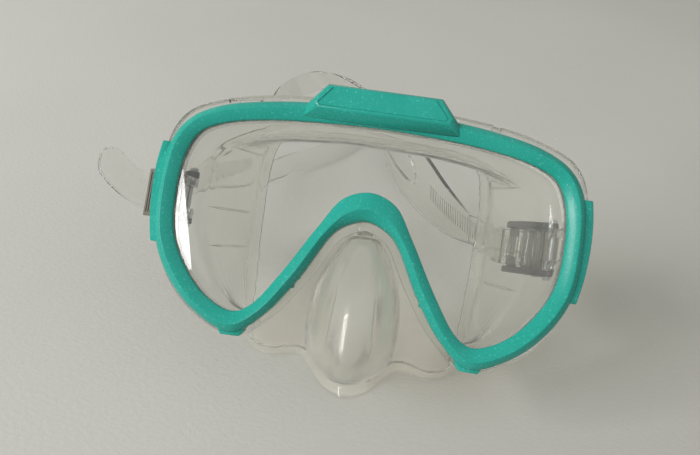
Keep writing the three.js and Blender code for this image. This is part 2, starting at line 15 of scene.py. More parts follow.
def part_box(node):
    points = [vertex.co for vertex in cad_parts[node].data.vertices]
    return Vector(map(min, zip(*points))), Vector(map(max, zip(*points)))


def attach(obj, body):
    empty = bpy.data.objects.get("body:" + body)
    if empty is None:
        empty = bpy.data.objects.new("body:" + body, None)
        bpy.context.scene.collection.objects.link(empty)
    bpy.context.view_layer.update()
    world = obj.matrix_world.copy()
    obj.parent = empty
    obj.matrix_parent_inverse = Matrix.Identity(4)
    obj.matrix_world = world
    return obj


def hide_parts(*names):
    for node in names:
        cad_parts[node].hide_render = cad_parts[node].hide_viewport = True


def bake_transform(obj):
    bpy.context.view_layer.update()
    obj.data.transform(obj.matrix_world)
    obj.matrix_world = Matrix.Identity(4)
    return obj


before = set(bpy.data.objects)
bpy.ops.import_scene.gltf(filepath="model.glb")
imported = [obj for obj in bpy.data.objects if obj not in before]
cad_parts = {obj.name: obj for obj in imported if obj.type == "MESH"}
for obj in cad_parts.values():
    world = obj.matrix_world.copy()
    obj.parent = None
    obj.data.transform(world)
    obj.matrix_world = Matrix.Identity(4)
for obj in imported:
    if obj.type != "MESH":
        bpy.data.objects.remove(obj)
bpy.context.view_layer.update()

MM = 0.001
TAU = 2 * math.pi

# ---------- where the mask stands ----------

GAP = 0.3                        # clearance between pieces that move or were made apart
LEAN = math.radians(46)          # how far the lens's normal points above the horizontal
LENS_FRONT = 1.5                 # depths of the lens's faces
LENS_BACK = 4.5
LENS_TOP = 38.9                  # its top edge, up the lens
ACROSS = np.array([1.0, 0.0, 0.0])
BACK = np.array([0.0, math.cos(LEAN), -math.sin(LEAN)])
UP = np.array([0.0, math.sin(LEAN), math.cos(LEAN)])
AXES = np.stack([ACROSS, BACK, UP])
LENS_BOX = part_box("lens")
ORIGIN = np.array([
    (LENS_BOX[0][0] + LENS_BOX[1][0]) / 2,
    LENS_BOX[1][1] - MM * (LENS_BACK * BACK[1] + LENS_TOP * UP[1]),
    LENS_BOX[1][2] - MM * (LENS_FRONT * BACK[2] + LENS_TOP * UP[2]),
])


def place(points):
    """Mask points [x, depth, up] in mm as row-frame points in metres."""
    return ORIGIN + MM * np.asarray(points, float) @ AXES


# ---------- sizes, in mm ----------

# Half of the rim from the top centre round to the nose arch:
# [window x, up, outer x, up, how far the clear frame stands out, how far the skirt steps in]
RIM = [
    [0, 36.3, 0, 43.4, 3.6, 4], [20, 35.7, 21, 43.2, 4, 4], [40, 34, 41.5, 41.1, 4.4, 4.5],
    [56, 30.9, 59, 37.2, 4.4, 5.5], [65, 26.3, 69.5, 31.4, 5.2, 6], [69, 18.5, 75.3, 22.6, 4.2, 6.5],
    [70.5, 3.5, 77.4, 4.5, 1.2, 6.5], [68.6, -12, 75.6, -14, 1.6, 6.5], [62, -24, 69, -27, 2.6, 6],
    [53, -32.8, 57.5, -38.2, 2.6, 4], [43, -36.5, 42.5, -44.2, 2, 1], [37, -33.5, 32, -36.6, 2.2, 0],
    [28, -21, 21.2, -21.4, 3, 0], [17, -2, 11.2, -3.6, 3.4, 0], [9.5, 9.2, 5.6, 0.6, 3.2, 0],
    [0, 12.7, 0, 2.2, 3, 0],
]
SPAN_SAMPLES = 8
LIP_BACK = 1.2                   # back of the lip that covers the lens's edge
BEZEL_BACK = 7
FRAME_FLANGE = 7.3               # front of the flange that stands out behind the bezel
FRAME_BACK = 12
LENS_OVERLAP = 2.6               # how far the rim and the frame reach over the lens's edge
BEZEL_WALL = 1.6
RIDGE_AT = 0.6                   # the bezel's ridge, as a part of its width from the window
RIDGE = -1.8

LENS_HEIGHT = 73                 # lens centre above the table
WAIST = 16                       # depth at which the skirt's wall has stepped in
SKIRT_BOW = 3.5                  # how far the wall is drawn in between the waist and its edge
SKIRT_BOW_AT = 0.6
SKIRT_WALL = 1.7
LIP_PATH = [[1.0, 0.75], [2.4, 0.9], [3.8, 0.45], [4.9, -0.3]]   # [inward, beyond the wall's end]
LIP_TIP = 0.9
SHOULDER = 1.2                   # behind the frame, where the wall starts to step in
SHOULDER_STEP = 0.35             # part of that step that is done there
RIBS = [[[19, 26.2], [50, 29]], [[20, 0.6], [52, 2.8]], [[20, -14.9], [52, -12.6]]]   # [depth, up]
# Half of the skirt's sealing edge, in step with RIM: [x, depth, up]; None lies on the table.
SEAL = [
    [0, 44, 46.5], [20, 44.5, 46.3], [38, 46.5, 43.8], [48.5, 50.5, 38], [52.5, 56, 27], [54, 61, 12],
    [54, 63, -4], [53.4, 63.5, -18], [52, 61.5, -33], [50.3, 55.5, -46], [45, None, -54.6],
    [36, None, -58.2], [22, None, -56.8], [16.5, None, -60], [10.5, None, -65.6], [0, None, -69],
]
# Nose pocket from the top down: [up, half width, front depth, back depth]
NOSE = [
    [-2.8, 5, 7, 18], [-6, 8.5, 3, 27], [-13, 12.2, -1, 31], [-22, 16, -5, 34],
    [-33, 17.6, -8, 36], [-43, 17.2, -9, 37], [-51, 14, -6, 37], [-56, 8, 0, 36],
]

# ---------- small tools ----------


def catmull(points, closed, ts):
    """Centripetal Catmull-Rom through points, at parameters ts from 0 to 1."""
    points = np.asarray(points, float)
    n = len(points)
    spans = n if closed else n - 1
    out = []
    for t in ts:
        at = t * spans
        i = min(int(math.floor(at)), spans - 1) if not closed else int(math.floor(at)) % n
        w = at - math.floor(at) if at < spans or closed else 1.0
        if closed:
            p = [points[(i + k) % n] for k in (-1, 0, 1, 2)]
        else:
            first = points[i - 1] if i > 0 else 2 * points[0] - points[1]
            last = points[i + 2] if i + 2 < n else 2 * points[-1] - points[-2]
            p = [first, points[i], points[i + 1], last]
        d = [max(np.sum((p[k + 1] - p[k]) ** 2) ** 0.25, 1e-4) for k in range(3)]
        t1 = ((p[1] - p[0]) / d[0] - (p[2] - p[0]) / (d[0] + d[1]) + (p[2] - p[1]) / d[1]) * d[1]
        t2 = ((p[2] - p[1]) / d[1] - (p[3] - p[1]) / (d[1] + d[2]) + (p[3] - p[2]) / d[2]) * d[1]
        c2 = -3 * p[1] + 3 * p[2] - 2 * t1 - t2
        c3 = 2 * p[1] - 2 * p[2] + t1 + t2
        out.append(p[1] + w * t1 + w * w * c2 + w ** 3 * c3)
    return np.array(out)


def mirrored(half, signs):
    """A half outline and its mirror image, as one closed loop."""
    whole = [list(row) for row in half]
    for row in half[-2:0:-1]:
        whole.append([value * sign for value, sign in zip(row, signs)])
    return whole


def unit(rows):
    return rows / np.maximum(np.linalg.norm(rows, axis=-1, keepdims=True), 1e-12)


def distances_along(points):
    """How far along its route each row-frame point lies, in mm."""
    steps = np.linalg.norm(np.diff(points, axis=0), axis=1)
    return np.concatenate([[0], np.cumsum(steps)]) / MM


def linked(name, data):
    """A new object with this data, in the scene."""
    obj = bpy.data.objects.new(name, data)
    bpy.context.scene.collection.objects.link(obj)
    return obj


def make_object(name, verts, faces, smooth=True):
    """A mesh object from row-frame vertices in metres, with its faces turned outward."""
    mesh = bpy.data.meshes.new(name)
    mesh.from_pydata([tuple(v) for v in verts], [], [tuple(f) for f in faces])
    mesh.validate()
    built = bmesh.new()
    built.from_mesh(mesh)
    bmesh.ops.remove_doubles(built, verts=built.verts, dist=1e-7)
    bmesh.ops.recalc_face_normals(built, faces=built.faces)
    built.to_mesh(mesh)
    built.free()
    mesh.polygons.foreach_set("use_smooth", [smooth] * len(mesh.polygons))
    return linked(name, mesh)


def loft_faces(rows, count, closed_row):
    """Faces over rows of count vertices. Rows that don't close on themselves get two caps."""
    faces = []
    for r in range(rows if closed_row else rows - 1):
        n = (r + 1) % rows
        for i in range(count):
            j = (i + 1) % count
            faces.append((r * count + i, r * count + j, n * count + j, n * count + i))
    if not closed_row:
        faces.append(tuple(range(count))[::-1])
        faces.append(tuple((rows - 1) * count + i for i in range(count)))
    return faces


def loft(name, rings, closed_row, smooth=True):
    """Skins rings of mask points, [rows, count, 3] in mm."""
    rings = np.asarray(rings, float)
    rows, count = rings.shape[:2]
    faces = loft_faces(rows, count, closed_row)
    return make_object(name, place(rings.reshape(-1, 3)), faces, smooth)


def baked(obj):
    """Applies the modifiers on obj."""
    bpy.context.view_layer.update()
    graph = bpy.context.evaluated_depsgraph_get()
    mesh = bpy.data.meshes.new_from_object(obj.evaluated_get(graph))
    old = obj.data
    obj.modifiers.clear()
    obj.data = mesh
    bpy.data.meshes.remove(old)
    return obj


def combine(target, other, operation):
    """Boolean of two closed meshes; other is used up."""
    cut = target.modifiers.new("cut", "BOOLEAN")
    cut.operation = operation
    cut.solver = "MANIFOLD"
    cut.object = other
    baked(target)
    bpy.data.objects.remove(other)
    return target


def bevel(obj, width, segments, angle):
    """Rounds the edges sharper than angle. The width is in mm."""
    edge = obj.modifiers.new("edges", "BEVEL")
    edge.width = width * MM
    edge.segments = segments
    edge.limit_method = "ANGLE"
    edge.angle_limit = math.radians(angle)
    edge.harden_normals = True
    return baked(obj)


def smooth_by_angle(obj, angle):
    """Smooth shading, with edges sharper than angle left crisp."""
    mesh = obj.data
    mesh.polygons.foreach_set("use_smooth", [True] * len(mesh.polygons))
    mesh.set_sharp_from_angle(angle=math.radians(angle))
    return obj


def finished(obj, material, body="root", nodes=()):
    """Gives a piece its material and body, and hides the CAD nodes it stands for."""
    obj.data.materials.clear()
    obj.data.materials.append(material)
    if body:
        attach(obj, body)
    if nodes:
        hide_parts(*nodes)
    return obj


def prism_back(name, outline, front, back):
    """An outline [x, up], carried from one depth to another."""
    rings = [[[x, depth, up] for x, up in outline] for depth in (front, back)]
    return loft(name, rings, False, smooth=False)


def prism_up(name, outline, low, high):
    """An outline [x, depth], carried from one height up the lens to another."""
    rings = [[[x, depth, up] for x, depth in outline] for up in (low, high)]
    return loft(name, rings, False, smooth=False)


def box_cutter(low, high):
    """A closed block between two mask corners."""
    (x0, d0, z0), (x1, d1, z1) = low, high
    return prism_back("block", [[x0, z0], [x1, z0], [x1, z1], [x0, z1]], d0, d1)


def circle(cx, cy, r, sides):
    turns = [TAU * k / sides for k in range(sides)]
    return [[cx + r * math.cos(turn), cy + r * math.sin(turn)] for turn in turns]


# ---------- node tools ----------


def new_material(name):
    material = bpy.data.materials.new(name)
    material.use_nodes = True
    nodes = material.node_tree.nodes
    return material, nodes, material.node_tree.links, nodes["Principled BSDF"]


def set_inputs(shader, values):
    for name, value in values.items():
        shader.inputs[name].default_value = value


def ramp(nodes, links, source, stops):
    """Colours along a value, from stops (place, colour)."""
    node = nodes.new("ShaderNodeValToRGB")
    elements = node.color_ramp.elements
    elements[0].position, elements[0].color = stops[0][0], [*stops[0][1], 1]
    elements[1].position, elements[1].color = stops[-1][0], [*stops[-1][1], 1]
    for at, colour in stops[1:-1]:
        elements.new(at).color = [*colour, 1]
    links.new(source, node.inputs[0])
    return node.outputs[0]


def noise(nodes, links, scale, detail, stretch=(1, 1, 1)):
    where = nodes.new("ShaderNodeTexCoord")
    mapping = nodes.new("ShaderNodeMapping")
    mapping.inputs["Scale"].default_value = stretch
    links.new(where.outputs["Object"], mapping.inputs["Vector"])
    node = nodes.new("ShaderNodeTexNoise")
    set_inputs(node, {"Scale": scale, "Detail": detail, "Roughness": 0.5})
    links.new(mapping.outputs[0], node.inputs["Vector"])
    return node.outputs[0]


def remap(nodes, links, source, low, high, start=0.0, end=1.0):
    """A value from start to end, as low to high."""
    node = nodes.new("ShaderNodeMapRange")
    set_inputs(node, {"From Min": start, "From Max": end, "To Min": low, "To Max": high})
    links.new(source, node.inputs["Value"])
    return node.outputs[0]


def mixed_shader(nodes, links, share, first, second):
    """share is a number or a node's output; 0 gives the first shader."""
    mix = nodes.new("ShaderNodeMixShader")
    if isinstance(share, float):
        mix.inputs[0].default_value = share
    else:
        links.new(share, mix.inputs[0])
    links.new(first, mix.inputs[1])
    links.new(second, mix.inputs[2])
    return mix.outputs[0]


def colour_mix(nodes, blend):
    """A node that mixes two colours: the node, its two colour inputs and its colour output."""
    mix = nodes.new("ShaderNodeMix")
    mix.data_type = "RGBA"
    mix.blend_type = blend
    first, second = [socket for socket in mix.inputs if socket.type == "RGBA"]
    return mix, first, second, next(out for out in mix.outputs if out.type == "RGBA")


def measured_along(nodes, links, direction):
    """How far a point lies along a direction, in metres."""
    where = nodes.new("ShaderNodeTexCoord")
    product = nodes.new("ShaderNodeVectorMath")
    product.operation = "DOT_PRODUCT"
    product.inputs[1].default_value = direction
    links.new(where.outputs["Object"], product.inputs[0])
    return product.outputs["Value"]


def bump(nodes, links, heights, strength, distance):
    """Relief from heights (source, share), chained so that coarse and fine add up."""
    last = None
    for source, share in heights:
        node = nodes.new("ShaderNodeBump")
        node.inputs["Strength"].default_value = strength * share
        node.inputs["Distance"].default_value = distance * MM
        links.new(source, node.inputs["Height"])
        if last:
            links.new(last, node.inputs["Normal"])
        last = node.outputs[0]
    return last


def teal_plastic():
    """Gloss moulded plastic with a faint pearl grain and fine flecks."""
    material, nodes, links, shader = new_material("teal_plastic")
    broad = noise(nodes, links, 60, 4)
    grain = noise(nodes, links, 2600, 2)
    flecks = noise(nodes, links, 1500, 1)
    colour = ramp(nodes, links, broad, [(0.3, (0.008, 0.275, 0.215)), (0.7, (0.015, 0.315, 0.252))])
    mix, plain, flecked, result = colour_mix(nodes, "MIX")
    links.new(colour, plain)
    flecked.default_value = (0.10, 0.50, 0.43, 1)
    links.new(remap(nodes, links, flecks, 0, 0.7, 0.64, 0.74), mix.inputs["Factor"])
    links.new(result, shader.inputs["Base Color"])
    links.new(remap(nodes, links, grain, 0.16, 0.34, 0.3, 0.7), shader.inputs["Roughness"])
    links.new(bump(nodes, links, [(grain, 1.0), (broad, 0.4)], 0.12, 0.05), shader.inputs["Normal"])
    shader.inputs["IOR"].default_value = 1.46
    return material


def lets_lamps_through(material, nodes, links, surface, tint):
    """Shadow rays pass a clear shader with this tint, so that light reaches what is inside."""
    path = nodes.new("ShaderNodeLightPath")
    clear = nodes.new("ShaderNodeBsdfTransparent")
    clear.inputs[0].default_value = [*tint, 1]
    mixed = mixed_shader(nodes, links, path.outputs["Is Shadow Ray"], surface, clear.outputs[0])
    links.new(mixed, nodes["Material Output"].inputs["Surface"])
    return material


def clear_solid(name, tint, shadow_tint, flow_scale, detail, roughness):
    """Clear glass or hard plastic. Its roughness, (low, high), follows a slow flow."""
    material, nodes, links, shader = new_material(name)
    set_inputs(shader, {"Base Color": [*tint, 1], "Transmission Weight": 1, "IOR": 1.5})
    flow = noise(nodes, links, flow_scale, detail)
    links.new(remap(nodes, links, flow, *roughness), shader.inputs["Roughness"])
    return lets_lamps_through(material, nodes, links, shader.outputs[0], shadow_tint)


POCKET_ROUGHNESS = 0.11          # how much hazier the nose pocket is than the rest of the silicone
POCKET_MILK = 0.035
POCKET_FROM, POCKET_TO = -2, 12  # depths, in mm, over which the pocket's haze fades out


def added(nodes, links, base, extra, share):
    """base + share * extra."""
    node = nodes.new("ShaderNodeMath")
    node.operation = "MULTIPLY_ADD"
    links.new(extra, node.inputs[0])
    node.inputs[1].default_value = share
    links.new(base, node.inputs[2])
    return node.outputs[0]


def pocket_haze(nodes, links):
    """1 on the nose pocket, which stands out in front of the skirt's wall, falling to 0 behind it."""
    depth = measured_along(nodes, links, tuple(BACK))
    zero = float(ORIGIN @ BACK)
    return remap(nodes, links, depth, 1, 0, zero + POCKET_FROM * MM, zero + POCKET_TO * MM)


def clear_silicone(name, milk, tint, roughness):
    """Clear silicone: mostly see-through, with a little milk in the rubber."""
    material, nodes, links, shader = new_material(name)
    set_inputs(shader, {
        "Base Color": [*tint, 1], "Transmission Weight": 1, "IOR": 1.41, "Specular IOR Level": 0.35,
        "Coat Weight": 0.9, "Coat Roughness": 0.02, "Coat IOR": 1.41,
    })
    cloud = noise(nodes, links, 70, 4)
    fine = noise(nodes, links, 900, 3)
    haze = pocket_haze(nodes, links)
    satin = remap(nodes, links, cloud, roughness * 0.6, roughness * 1.4)
    links.new(added(nodes, links, satin, haze, POCKET_ROUGHNESS), shader.inputs["Roughness"])
    relief = bump(nodes, links, [(fine, 1.0), (cloud, 1.0)], 0.05, 0.08)
    links.new(relief, shader.inputs["Normal"])
    body = nodes.new("ShaderNodeBsdfDiffuse")
    body.inputs["Color"].default_value = (0.80, 0.79, 0.73, 1)
    through = nodes.new("ShaderNodeBsdfTranslucent")
    through.inputs["Color"].default_value = (0.86, 0.85, 0.79, 1)
    milky = mixed_shader(nodes, links, 0.5, body.outputs[0], through.outputs[0])
    clouded = remap(nodes, links, cloud, milk * 0.7, milk * 1.3)
    share = added(nodes, links, clouded, haze, POCKET_MILK)
    mixed = mixed_shader(nodes, links, share, shader.outputs[0], milky)
    return lets_lamps_through(material, nodes, links, mixed, [0.95 * v for v in tint])


def moulded_plastic(name, dark, light, roughness):
    """Plain moulded plastic, a little uneven in colour and gloss."""
    material, nodes, links, shader = new_material(name)
    broad = noise(nodes, links, 120, 4)
    grain = noise(nodes, links, 1800, 2)
    satin = remap(nodes, links, grain, roughness - 0.08, roughness + 0.1)
    links.new(ramp(nodes, links, broad, [(0.35, dark), (0.65, light)]), shader.inputs["Base Color"])
    links.new(satin, shader.inputs["Roughness"])
    links.new(bump(nodes, links, [(grain, 1.0), (broad, 0.6)], 0.2, 0.05), shader.inputs["Normal"])
    return material


def pin_metal():
    material, nodes, links, shader = new_material("pin_steel")
    shader.inputs["Metallic"].default_value = 1
    turned = noise(nodes, links, 900, 3, stretch=(1, 1, 8))
    colour = ramp(nodes, links, turned, [(0.3, (0.42, 0.43, 0.44)), (0.7, (0.60, 0.61, 0.62))])
    links.new(colour, shader.inputs["Base Color"])
    links.new(remap(nodes, links, turned, 0.22, 0.42), shader.inputs["Roughness"])
    return material


TEAL = teal_plastic()
CLEAR = clear_solid("clear_frame", (0.96, 0.965, 0.95), (0.93, 0.93, 0.92), 90, 2, (0.02, 0.07))
GLASS = clear_solid("lens_glass", (0.975, 0.985, 0.975), (0.95, 0.955, 0.94), 40, 3, (0, 0.012))
SKIRT = clear_silicone("clear_silicone", 0.06, (0.975, 0.968, 0.94), 0.06)
STRAP = clear_silicone("clear_silicone_strap", 0.03, (0.965, 0.96, 0.94), 0.07)
BLACK = moulded_plastic("black_plastic", (0.009, 0.009, 0.010), (0.016, 0.016, 0.018), 0.42)
GREY = moulded_plastic("grey_plastic", (0.145, 0.132, 0.108), (0.175, 0.160, 0.132), 0.38)
STEEL = pin_metal()

# ---------- the rim ----------


def rim_stations():
    """Places round the whole rim: where the window's edge is, which way is out, and the widths."""
    loop = mirrored(RIM, (-1, 1, -1, 1, 1, 1))
    count = len(loop) * SPAN_SAMPLES
    ts = [i / count for i in range(count)]
    inner = catmull([[r[0], r[1]] for r in loop], True, ts)
    outer = catmull([[r[2], r[3]] for r in loop], True, ts)
    steps = catmull([[i, r[4], r[5]] for i, r in enumerate(loop)], True, ts)
    out = outer - inner
    width = np.linalg.norm(out, axis=1)
    directions = out / width[:, None]
    return {"edge": inner, "out": directions, "width": width, "lip": steps[:, 1], "waist": steps[:, 2]}


STATIONS = rim_stations()
STATION_COUNT = len(STATIONS["width"])


def at_station(across, depth):
    """Mask points round the rim. across and depth are one number, or one for each station."""
    flat = STATIONS["edge"] + STATIONS["out"] * np.broadcast_to(across, STATION_COUNT)[:, None]
    depth = np.broadcast_to(depth, STATION_COUNT)
    return np.stack([flat[:, 0], depth, flat[:, 1]], axis=1)


def rounded(corners, radii, steps):
    """A closed outline with each corner rounded by its own radius; 0 leaves it sharp."""
    n = len(corners)
    points = []
    for i in range(n):
        a, b, c = (np.array(corners[(i + k) % n], float) for k in (-1, 0, 1))
        r = radii[i]
        if r == 0:
            points.append(b)
            continue
        to_a, to_c = unit((a - b)[None])[0], unit((c - b)[None])[0]
        reach = min(r, 0.48 * np.linalg.norm(a - b), 0.48 * np.linalg.norm(c - b))
        start, end = b + to_a * reach, b + to_c * reach
        for k in range(steps + 1):
            w = k / steps
            points.append((1 - w) ** 2 * start + 2 * w * (1 - w) * b + w * w * end)
    return np.array(points)


def rim_hoop(name, section, radii, steps):
    """A closed hoop round the rim. section(width, lip) lists its corners [across, depth]."""
    rings = []
    for i in range(STATION_COUNT):
        outline = rounded(section(STATIONS["width"][i], STATIONS["lip"][i]), radii, steps)
        edge, out = STATIONS["edge"][i], STATIONS["out"][i]
        rings.append([[edge[0] + out[0] * a, y, edge[1] + out[1] * a] for a, y in outline])
    return loft(name, rings, True)


def bezel_section(width, lip):
    """The bezel is crowned: it rises to the ridge and falls away to its outer wall."""
    ridge = RIDGE_AT * width
    wall = width - BEZEL_WALL
    return [
        [0, 0.1], [0.5 * ridge, 0.6 * RIDGE], [ridge, RIDGE], [ridge + 0.55 * (width - ridge), -0.65],
        [width, 0.9], [width, BEZEL_BACK], [wall, BEZEL_BACK], [wall, LIP_BACK], [0, LIP_BACK],
    ]


# The tabs' outer edges, [x, up]: the long ones at the sides, and the low ones under the lobes.
SIDE_TAB = [[78.6, 21.2], [79.6, 13], [79.7, 3], [78.6, -8], [77, -16]]
SIDE_TAB_FRONT = 0.6
SIDE_TAB_DEEP = 3.4
LOBE_TAB = [[47.2, -43.6], [46.2, -45.3], [39.4, -45.1], [38.0, -43.2]]
LOBE_TAB_FRONT = 1.0
LOBE_TAB_DEEP = 3
HOOKS = [[22.1, -20.9], [23.9, -24.4]]        # little catches beside the nose arch, [x, up]
HOOK_HALF = 1.05
HOOK_FRONT, HOOK_BACK = 3.2, 6.8


def tab(outline, inner_shift, front, bevel_width):
    """A ledge on the bezel's edge. The outline's inner side lies inside the bezel."""
    whole = outline + [[x - inner_shift[0], z - inner_shift[1]] for x, z in reversed(outline)]
    return bevel(prism_back("tab", whole, front, BEZEL_BACK), bevel_width, 3, 30)


def hook(x, z):
    low = (x - HOOK_HALF, HOOK_FRONT, z - HOOK_HALF)
    high = (x + HOOK_HALF, HOOK_BACK, z + HOOK_HALF)
    return bevel(box_cutter(low, high), 0.25, 2, 30)


def make_bezel():
    bezel = rim_hoop("rim_bezel", bezel_section, [0.5, 1.4, 0.3, 1.2, 0.8, 0.4, 0.3, 0.2, 0.2], 4)
    long_edge = catmull(SIDE_TAB, False, [i / 12 for i in range(13)])
    for side in (1, -1):
        outline = [[side * x, z] for x, z in long_edge]
        combine(bezel, tab(outline, (side * SIDE_TAB_DEEP, 0), SIDE_TAB_FRONT, 0.5), "UNION")
    for side in (1, -1):
        outline = [[side * x, z] for x, z in LOBE_TAB]
        combine(bezel, tab(outline, (0, -LOBE_TAB_DEEP), LOBE_TAB_FRONT, 0.35), "UNION")
    for side in (1, -1):
        for x, z in HOOKS:
            combine(bezel, hook(side * x, z), "UNION")
    smooth_by_angle(bezel, 38)
    return finished(bezel, TEAL, nodes=("bezel",))


# ---------- brow block ----------

BROW_PANEL = [[-20.3, 48.0], [20.3, 48.0], [24.9, 42.0], [23.4, 39.8], [-23.4, 39.8], [-24.9, 42.0]]
BROW_FOOT = [[-20.8, 49.4], [20.8, 49.4], [27.8, 41.2], [29.4, 36.6], [-29.4, 36.6], [-27.8, 41.2]]
BROW_FRONT = -4.4
BROW_TIP = 0.25                  # the panel's upper part stands this much further forward
BROW_FOOT_DEPTHS = (-2.5, -2.5, -1.7, -0.45, -0.45, -1.7)
BROW_SHELF = 0.9                 # depth at which the sides step in
BROW_REAR_WIDTH = 0.9            # part of its width that the block keeps behind the rim
BROW_BACK = 6.8
BROW_FLANGE_LOW = 43.9           # behind the bezel, the block only reaches down to here
# The panel's groove runs down one side, along the bottom and up the other, [x, up].
GROOVE = [[-18.6, 47.6], [-23.3, 41.9], [-22.4, 40.8], [22.4, 40.8], [23.3, 41.9], [18.6, 47.6]]
GROOVE_HALF = 0.22
GROOVE_FRONT, GROOVE_FLOOR = BROW_FRONT - 1.6, BROW_FRONT + 0.12


def brow_block():
    """Panel, sloping sides and top, and a flange over the frame."""
    panel = [[x, BROW_FRONT - BROW_TIP * (z > 41), z] for x, z in BROW_PANEL]
    foot = [[x, depth, z] for (x, z), depth in zip(BROW_FOOT, BROW_FOOT_DEPTHS)]
    lifted = [[x * BROW_REAR_WIDTH, max(z, BROW_FLANGE_LOW) if z < 40 else z] for x, z in BROW_FOOT]
    back = [[x, BROW_SHELF, z] for x, z in lifted]
    rear = [[x * BROW_REAR_WIDTH, BROW_BACK, max(z, BROW_FLANGE_LOW)] for x, z in BROW_FOOT]
    return loft("brow_block", [panel, foot, back, rear], False, smooth=False)


def groove_cutter():
    """A thin mitred strip along the panel's groove, as a closed solid."""
    path = np.array(GROOVE, float)
    along = unit(np.diff(path, axis=0))
    normals = np.stack([-along[:, 1], along[:, 0]], axis=1)
    left, right = [], []
    for i in range(len(path)):
        n = normals[max(i - 1, 0)] + normals[min(i, len(normals) - 1)]
        n = n / np.linalg.norm(n)
        reach = GROOVE_HALF / max(np.dot(n, normals[min(i, len(normals) - 1)]), 0.3)
        left.append(path[i] + n * reach)
        right.append(path[i] - n * reach)
    return prism_back("groove", left + right[::-1], GROOVE_FRONT, GROOVE_FLOOR)


def make_brow():
    block = bevel(brow_block(), 0.45, 3, 12)
    combine(block, groove_cutter(), "DIFFERENCE")
    smooth_by_angle(block, 30)
    return finished(block, TEAL, nodes=("brow_clip",))


# ---------- lens ----------


def make_lens():
    inset = 0.25
    rings = [
        at_station(LENS_OVERLAP - inset, LENS_FRONT), at_station(LENS_OVERLAP, LENS_FRONT + inset),
        at_station(LENS_OVERLAP, LENS_BACK - inset), at_station(LENS_OVERLAP - inset, LENS_BACK),
    ]
    lens = loft("lens_pane", rings, False, smooth=False)
    return finished(lens, GLASS, nodes=("lens",))


# ---------- clear frame ----------

HINGE = (74, 26, 3.5)            # x, depth, up
EAR_ROOT_X = 73.8
EAR_ROOT_WIDTH = 3.8
EAR_ROOT = FRAME_BACK - 1.5      # the ears start this deep, inside the frame
EAR_NECK = HINGE[1] - 7          # and are thinnest from here to the barrel
EAR_NECK_HALF = 2
BARREL_R = 3
PIN_R = 1.2
EAR_SPANS = ((4.4, 7.9), (-7.9, -4.4))                # up and down from the hinge
ARCH_CLIP = ((-2.9, 7.0, -2.6), (2.9, 9.4, 1.9))      # the catch at the top of the nose arch
NOTCHES = [(-57, 37.4), (43, 44)]                     # snap slots in the clear frame, [x, up]
NOTCH_HALF = 1.6
NOTCH_FRONT, NOTCH_BACK = 6, 9.6


def frame_section(width, lip):
    front = LENS_OVERLAP + GAP
    wall = width - BEZEL_WALL - GAP
    return [
        [front, LENS_FRONT], [wall, LENS_FRONT], [wall, FRAME_FLANGE], [width + lip, FRAME_FLANGE],
        [width + lip, FRAME_BACK], [front, FRAME_BACK],
    ]


def ear_outline(side):
    """One ear from above, [x, depth]: a neck that ends in the hinge's barrel."""
    hinge_x, hinge_y = HINGE[0], HINGE[1]
    points = [[EAR_ROOT_X, EAR_ROOT], [EAR_ROOT_X + EAR_ROOT_WIDTH, EAR_ROOT]]
    points.append([hinge_x + EAR_NECK_HALF, EAR_NECK])
    for k in range(19):
        angle = math.pi * k / 18
        points.append([hinge_x + BARREL_R * math.cos(angle), hinge_y + BARREL_R * math.sin(angle)])
    points += [[hinge_x - EAR_NECK_HALF, EAR_NECK], [EAR_ROOT_X, FRAME_BACK]]
    return [[side * x, y] for x, y in points]


def make_frame():
    frame_piece = rim_hoop("clear_frame", frame_section, [0.3, 0.3, 0, 0.7, 1.2, 0.4], 3)
    for side in (1, -1):
        for low, high in EAR_SPANS:
            ear = prism_up("ear", ear_outline(side), HINGE[2] + low, HINGE[2] + high)
            combine(frame_piece, bevel(ear, 0.4, 2, 40), "UNION")
        bore = circle(side * HINGE[0], HINGE[1], PIN_R + GAP, 40)
        combine(frame_piece, prism_up("bore", bore, HINGE[2] - 10, HINGE[2] + 10), "DIFFERENCE")
    combine(frame_piece, bevel(box_cutter(*ARCH_CLIP), 0.35, 2, 30), "UNION")
    for x, z in NOTCHES:
        notch = box_cutter((x - NOTCH_HALF, NOTCH_FRONT, z - 1), (x + NOTCH_HALF, NOTCH_BACK, z + 4))
        combine(frame_piece, notch, "DIFFERENCE")
    smooth_by_angle(frame_piece, 35)
    return finished(frame_piece, CLEAR, nodes=("frame",))


# ---------- skirt ----------


def on_table(z):
    """Depth at which a point this far up the lens touches the table."""
    return (LENS_HEIGHT + UP[2] * z) / -BACK[2]


def seal_loop(inset):
    """The skirt's sealing edge round the face, and which way is inward at each place."""
    rows = [[x, on_table(z) if y is None else y, z] for x, y, z in SEAL]
    loop = mirrored(rows, (-1, 1, 1))
    ts = np.arange(STATION_COUNT) / STATION_COUNT
    curve = catmull(loop, True, ts)
    ahead = catmull(loop, True, (ts + 0.002) % 1)
    tangent = ahead - curve
    inward = unit(np.stack([tangent[:, 2], np.zeros(STATION_COUNT), -tangent[:, 0]], axis=1))
    return curve + inward * inset, inward


def skirt_rings(inset, steps):
    """Rings of the skirt's wall from the lens back to the sealing edge."""
    collar = LENS_OVERLAP - inset
    seal, _ = seal_loop(inset)
    waist = at_station(collar - STATIONS["waist"], WAIST)
    mixed = waist + SKIRT_BOW_AT * (seal - waist)
    bow = mixed - SKIRT_BOW * unit(mixed * np.array([1, 0, 1]))
    shoulder = at_station(collar - SHOULDER_STEP * STATIONS["waist"], FRAME_BACK + SHOULDER)
    keys = np.stack([at_station(collar, FRAME_BACK + GAP - 2), shoulder, waist, bow, seal])
    curve = catmull(keys.reshape(len(keys), -1), False, [k / steps for k in range(steps + 1)])
    return curve.reshape(steps + 1, STATION_COUNT, 3)


